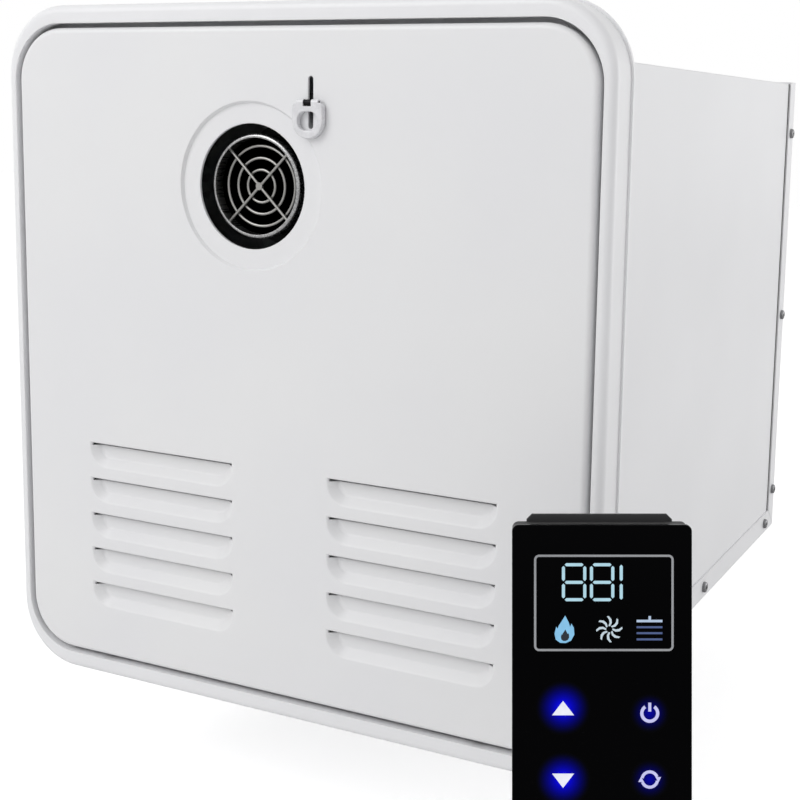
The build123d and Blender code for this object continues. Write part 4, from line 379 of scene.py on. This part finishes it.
def shine(name, colour, strength):
    """A lit sign: coloured light through acrylic, a shade uneven as a small lamp makes it."""
    cloud_mm, dimmest = 3, 0.8
    material, shader, place = new_finish(
        name, Base_Color=linear("050506"), Roughness=0.3, Emission_Strength=strength)
    ramp = add_node(material, "ShaderNodeValToRGB", links={"Fac": noise(material, place, cloud_mm, 1)})
    ramp.color_ramp.elements[0].color = [channel * dimmest for channel in linear(colour)[:3]] + [1.0]
    ramp.color_ramp.elements[1].color = linear(colour)
    material.node_tree.links.new(ramp.outputs["Color"], shader.inputs["Emission Color"])
    return material


def lay_on_face(shape, lift):
    """Turns a flat shape's faces outward and lays it on the controller's face."""
    for face in shape.faces:
        face.normal_update()
        if face.normal.z < 0:
            face.normal_flip()
    bmesh.ops.transform(shape, matrix=face_matrix @ Matrix.Translation((0, 0, lift * sign_height)),
                        verts=shape.verts)


def make_piece(name, shape, material):
    """Puts a finished shape into the scene, in one material."""
    mesh = bpy.data.meshes.new(name)
    shape.to_mesh(mesh)
    shape.free()
    mesh.materials.append(material)
    piece = bpy.data.objects.new(name, mesh)
    bpy.context.scene.collection.objects.link(piece)
    return piece


def face_sign(name, outlines, material, lift=1.0):
    """Makes flat outlines, given in millimetres on the controller's face, into one sign."""
    shape = bmesh.new()
    for outline in outlines:
        shape.faces.new([shape.verts.new((x / 1000, y / 1000, 0)) for x, y in outline])
    lay_on_face(shape, lift)
    piece = make_piece(name, shape, material)
    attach(piece, "casing")


def rectangle(left, low, right, high):
    """The four corners of an upright rectangle."""
    return [(left, low), (right, low), (right, high), (left, high)]


def placed(outline, x, y, size=1.0, swing=0.0):
    """An outline drawn round its own centre, resized, swung and moved to its place."""
    cosine, sine = size * math.cos(swing), size * math.sin(swing)
    return [(x + cosine * along - sine * up, y + sine * along + cosine * up) for along, up in outline]


def stroke(x0, y0, x1, y1, width):
    """A bar with pointed ends from one point to another, as in a seven-segment numeral."""
    along = Vector((x1 - x0, y1 - y0)).normalized()
    side = Vector((-along.y, along.x)) * width / 2
    tip = along * width / 2
    start, end = Vector((x0, y0)), Vector((x1, y1))
    points = [start, start + tip + side, end - tip + side, end, end - tip - side, start + tip - side]
    return [(point.x, point.y) for point in points]


def arc_band(x, y, radius, width, first, last, steps):
    """A curved band round a centre, between two angles in degrees, as four-sided pieces."""
    bands = []
    inner, outer = radius - width / 2, radius + width / 2
    for step in range(steps):
        start = math.radians(first + (last - first) * step / steps)
        end = math.radians(first + (last - first) * (step + 1) / steps)
        bands.append([(x + reach * math.cos(angle), y + reach * math.sin(angle))
                      for reach, angle in ((inner, start), (outer, start), (outer, end), (inner, end))])
    return bands


low, middle, high, span, gap, width, one_x = 30.9, 37.9, 45.0, 8.6, 0.5, 1.25, 7.7
numeral_strokes = []
for left in (-15.6, -4.3):
    right = left + span
    for height in (low, middle, high):
        numeral_strokes.append(stroke(left + gap, height, right - gap, height, width))
    for side in (left, right):
        numeral_strokes.append(stroke(side, low + gap, side, middle - gap, width))
        numeral_strokes.append(stroke(side, middle + gap, side, high - gap, width))
numeral_strokes.append(stroke(one_x, middle + gap, one_x, high, width))
numeral_strokes.append(stroke(one_x, low, one_x, middle - gap, width))
face_sign("display_numerals", numeral_strokes, shine("pale cyan numerals", "B4DDEC", 1.0))

sign_row = 19.0
flame = [(-3.9, -1.8), (-3.4, -4.2), (-1.6, -5.5), (0.6, -5.6), (2.8, -4.6), (4.1, -2.2),
         (3.9, 0.6), (2.9, 2.3), (2.4, 0.9), (1.8, 2.8), (0.4, 5.5), (-1.0, 3.2), (-2.2, 1.4),
         (-2.6, 0.2), (-3.2, 1.0)]
face_sign("flame_sign", [placed(flame, -15.3, sign_row)], shine("light blue flame sign", "86C6EE", 1.0))
face_sign("flame_sign_core", [placed(flame, -15.0, 16.6, size=0.42)],
          shine("dark core of the flame sign", "0A2A44", 0.3), lift=2.0)

blade_count = 8
blade_outline = [(1.2, -0.3), (2.5, -1.0), (4.0, -0.9), (5.3, 0.2), (5.2, 1.0), (3.9, 0.1),
                 (2.6, -0.1), (1.3, 0.4)]
fan_blades = [placed(blade_outline, 2.9, sign_row, swing=2 * math.pi * blade / blade_count)
              for blade in range(blade_count)]
face_sign("fan_sign", fan_blades, shine("white fan sign", "C9DAE4", 1.0))

bar_left, bar_right, bar_height = 13.9, 24.3, 0.8
top_bar = [rectangle(bar_left, 21.8, bar_right, 22.8), rectangle(18.7, 22.8, 19.7, 24.3)]
face_sign("level_sign_top", top_bar, shine("bright level bar", "B4C8E2", 1.0))
low_bars = [rectangle(bar_left, y, bar_right, y + bar_height) for y in (19.4, 17.0, 14.5)]
face_sign("level_sign_bars", low_bars, shine("dim level bars", "465A8C", 1.0))

window_line = moulded("grey printed line", "96989C", "A6A8AC", 0.4)
line_parts = []
left, right, low, high, corner, width = -27.0, 28.4, 10.6, 48.6, 1.6, 0.9
for x, y, first in ((right - corner, high - corner, 0), (left + corner, high - corner, 90),
                    (left + corner, low + corner, 180), (right - corner, low + corner, 270)):
    line_parts += arc_band(x, y, corner, width, first, first + 90, 8)
for y in (low, high):
    line_parts.append(rectangle(left + corner, y - width / 2, right - corner, y + width / 2))
for x in (left, right):
    line_parts.append(rectangle(x - width / 2, low + corner, x + width / 2, high - corner))
face_sign("display_window_line", line_parts, window_line)

arrow_x, up_y, down_y = -15.75, -12.8, -42.1
arrow = [(-4.45, -2.9), (4.45, -2.9), (0.0, 2.9)]
arrow_light = shine("white key light", "F2F4FF", 1.0)
face_sign("up_key", [placed(arrow, arrow_x, up_y)], arrow_light, lift=2.0)
face_sign("down_key", [placed(arrow, arrow_x, down_y, swing=math.pi)], arrow_light, lift=2.0)

right_keys_x, power_y, loop_y = 19.2, -14.9, -41.6
ring_light = shine("lilac key light", "CDCDFA", 1.0)
power_shapes = arc_band(right_keys_x, power_y, radius=3.2, width=1.3, first=125, last=415, steps=36)
power_shapes.append(placed(rectangle(-0.6, 0.7, 0.6, 4.3), right_keys_x, power_y))
face_sign("power_key", power_shapes, ring_light, lift=2.0)
loop_radius, loop_width, loop_sweep = 3.1, 1.2, 150
loop_head = [(-2.3, -1.0), (-4.6, -1.0), (-3.5, 1.2)]
loop_shapes = []
for first, swing in ((20, 0.0), (200, math.pi)):
    loop_shapes += arc_band(right_keys_x, loop_y, loop_radius, loop_width, first, first + loop_sweep, 20)
    loop_shapes.append(placed(loop_head, right_keys_x, loop_y, swing=swing))
face_sign("recirculation_key", loop_shapes, ring_light, lift=2.0)

# Glow round the keys: blue light that spreads inside the acrylic and fades within some millimetres.
# Its strength is kept on the mesh, full at the key and nothing at the rim.
glow_rings, glow_corners, glow_falloff, glow_lift, glow_x = 14, 48, 2.3, 0.5, -15.7
glow, glow_shader = new_finish(
    "blue glow in black acrylic", Base_Color=linear("010102"), IOR=1.49, Specular_IOR_Level=0.03,
    Roughness=0.18, Emission_Strength=1.0)[:2]
glow_amount = add_node(glow, "ShaderNodeAttribute", {"attribute_name": "glow"})
glow_ramp = add_node(glow, "ShaderNodeValToRGB", links={"Fac": glow_amount.outputs["Fac"]})
glow_ramp.color_ramp.elements[0].color = linear("010102")
glow_ramp.color_ramp.elements[1].color = linear("2626FF")
glow_ramp.color_ramp.elements.new(0.5).color = linear("0404C8")
glow.node_tree.links.new(glow_ramp.outputs["Color"], glow_shader.inputs["Emission Color"])
glow_shape = bmesh.new()
glow_layer = glow_shape.verts.layers.float.new("glow")
for x, y, radius, strength in ((glow_x, up_y, 11.0, 1.0), (glow_x, loop_y, 11.0, 1.0),
                               (right_keys_x, power_y, 8.0, 0.3), (right_keys_x, loop_y, 8.0, 0.3)):
    rings = []
    for ring in range(1, glow_rings + 1):
        share = ring / glow_rings
        made = bmesh.ops.create_circle(
            glow_shape, cap_ends=False, segments=glow_corners, radius=radius * share / 1000,
            matrix=Matrix.Translation((x / 1000, y / 1000, 0)))
        for vertex in made["verts"]:
            vertex[glow_layer] = strength * (1 - share) ** glow_falloff
        rings.append(list({edge for vertex in made["verts"] for edge in vertex.link_edges}))
    for inner, outer in zip(rings, rings[1:]):
        bmesh.ops.bridge_loops(glow_shape, edges=inner + outer)
    bmesh.ops.contextual_create(glow_shape, geom=rings[0])
lay_on_face(glow_shape, glow_lift)
glow_piece = make_piece("key_glow", glow_shape, glow)
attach(glow_piece, "casing")

# Floor: plain pale studio floor below the heater, which hangs at its height in a caravan's wall.
# It looks white to the camera and keeps the heater's shadow.
floor_z, floor_reach, floor_cloud_mm, floor_glow = -0.262, 6.0, 400, 0.5
floor_paint, floor_shader, floor_place = new_finish("pale studio floor", Roughness=0.9)
tint(floor_paint, floor_shader, noise(floor_paint, floor_place, floor_cloud_mm, 2), "F0F0F0", "F3F3F3")
floor_shader.inputs["Emission Color"].default_value = linear("FFFFFF")
camera_ray = add_node(floor_paint, "ShaderNodeLightPath").outputs["Is Camera Ray"]
floor_light = add_node(floor_paint, "ShaderNodeMath", {"operation": "MULTIPLY", 1: floor_glow},
                       {0: camera_ray})
floor_paint.node_tree.links.new(floor_light.outputs["Value"], floor_shader.inputs["Emission Strength"])
floor_shape = bmesh.new()
bmesh.ops.create_grid(floor_shape, x_segments=1, y_segments=1, size=floor_reach,
                      matrix=Matrix.Translation((0, 0, floor_z)))
floor = make_piece("studio_floor", floor_shape, floor_paint)

# Studio: a soft white room, which looks white to the camera, in mirrors and through glass.
# As a light it is quieter than that, so that the softboxes shape the heater.
room_light = 0.55
world = bpy.data.worlds.new("studio")
world.use_nodes = True
bpy.context.scene.world = world
background = world.node_tree.nodes["Background"]
background.inputs["Color"].default_value = linear("FFFFFF")
rays = add_node(world, "ShaderNodeLightPath").outputs
seen = add_node(world, "ShaderNodeMath", {"operation": "MAXIMUM"},
                {0: rays["Is Camera Ray"], 1: rays["Is Transmission Ray"]})
seen_all = add_node(world, "ShaderNodeMath", {"operation": "MAXIMUM"},
                    {0: seen.outputs["Value"], 1: rays["Is Glossy Ray"]})
room = add_node(world, "ShaderNodeMapRange", {"To Min": room_light, "To Max": 1.0},
                {"Value": seen_all.outputs["Value"]})
world.node_tree.links.new(room.outputs["Result"], background.inputs["Strength"])

# Softboxes: the large one stands at the left in front and above, and lights the door.
# The other stands behind at the right, and lights the housing's side.
for lamp_name, place, aim, size, watts in (
        ("key_softbox", (-0.9, -1.5, 1.3), (0, 0.05, 0), 1.4, 18.5),
        ("side_softbox", (1.65, 1.4, 0.3), (0.15, 0.2, 0), 1.2, 11.5)):
    lamp_data = bpy.data.lights.new(lamp_name, "AREA")
    lamp_data.size = size
    lamp_data.energy = watts
    lamp = bpy.data.objects.new(lamp_name, lamp_data)
    lamp.location = place
    lamp.rotation_euler = (Vector(aim) - Vector(place)).to_track_quat("-Z", "Y").to_euler()
    bpy.context.scene.collection.objects.link(lamp)

# Camera: at the viewer's place right of the door and a little above it, close to the heater.
# It looks slightly down and is turned by a trace about its own axis, as in the photograph.
pitch, roll, heading = math.radians(81.58), math.radians(-1.186), math.radians(25.589)
camera_data = bpy.data.cameras.new("viewer")
camera_data.lens = 61.155
camera_data.sensor_width = 36.0
camera_data.shift_x = -0.1
camera_data.shift_y = -0.1
camera_data.clip_start = 0.02
camera = bpy.data.objects.new("viewer", camera_data)
camera.location = (0.3984, -0.6139, 0.1349)
camera.rotation_euler = (pitch, roll, heading)
bpy.context.scene.collection.objects.link(camera)
bpy.context.scene.camera = camera
bpy.context.scene.view_settings.view_transform = "Standard"

bpy.context.view_layer.update()
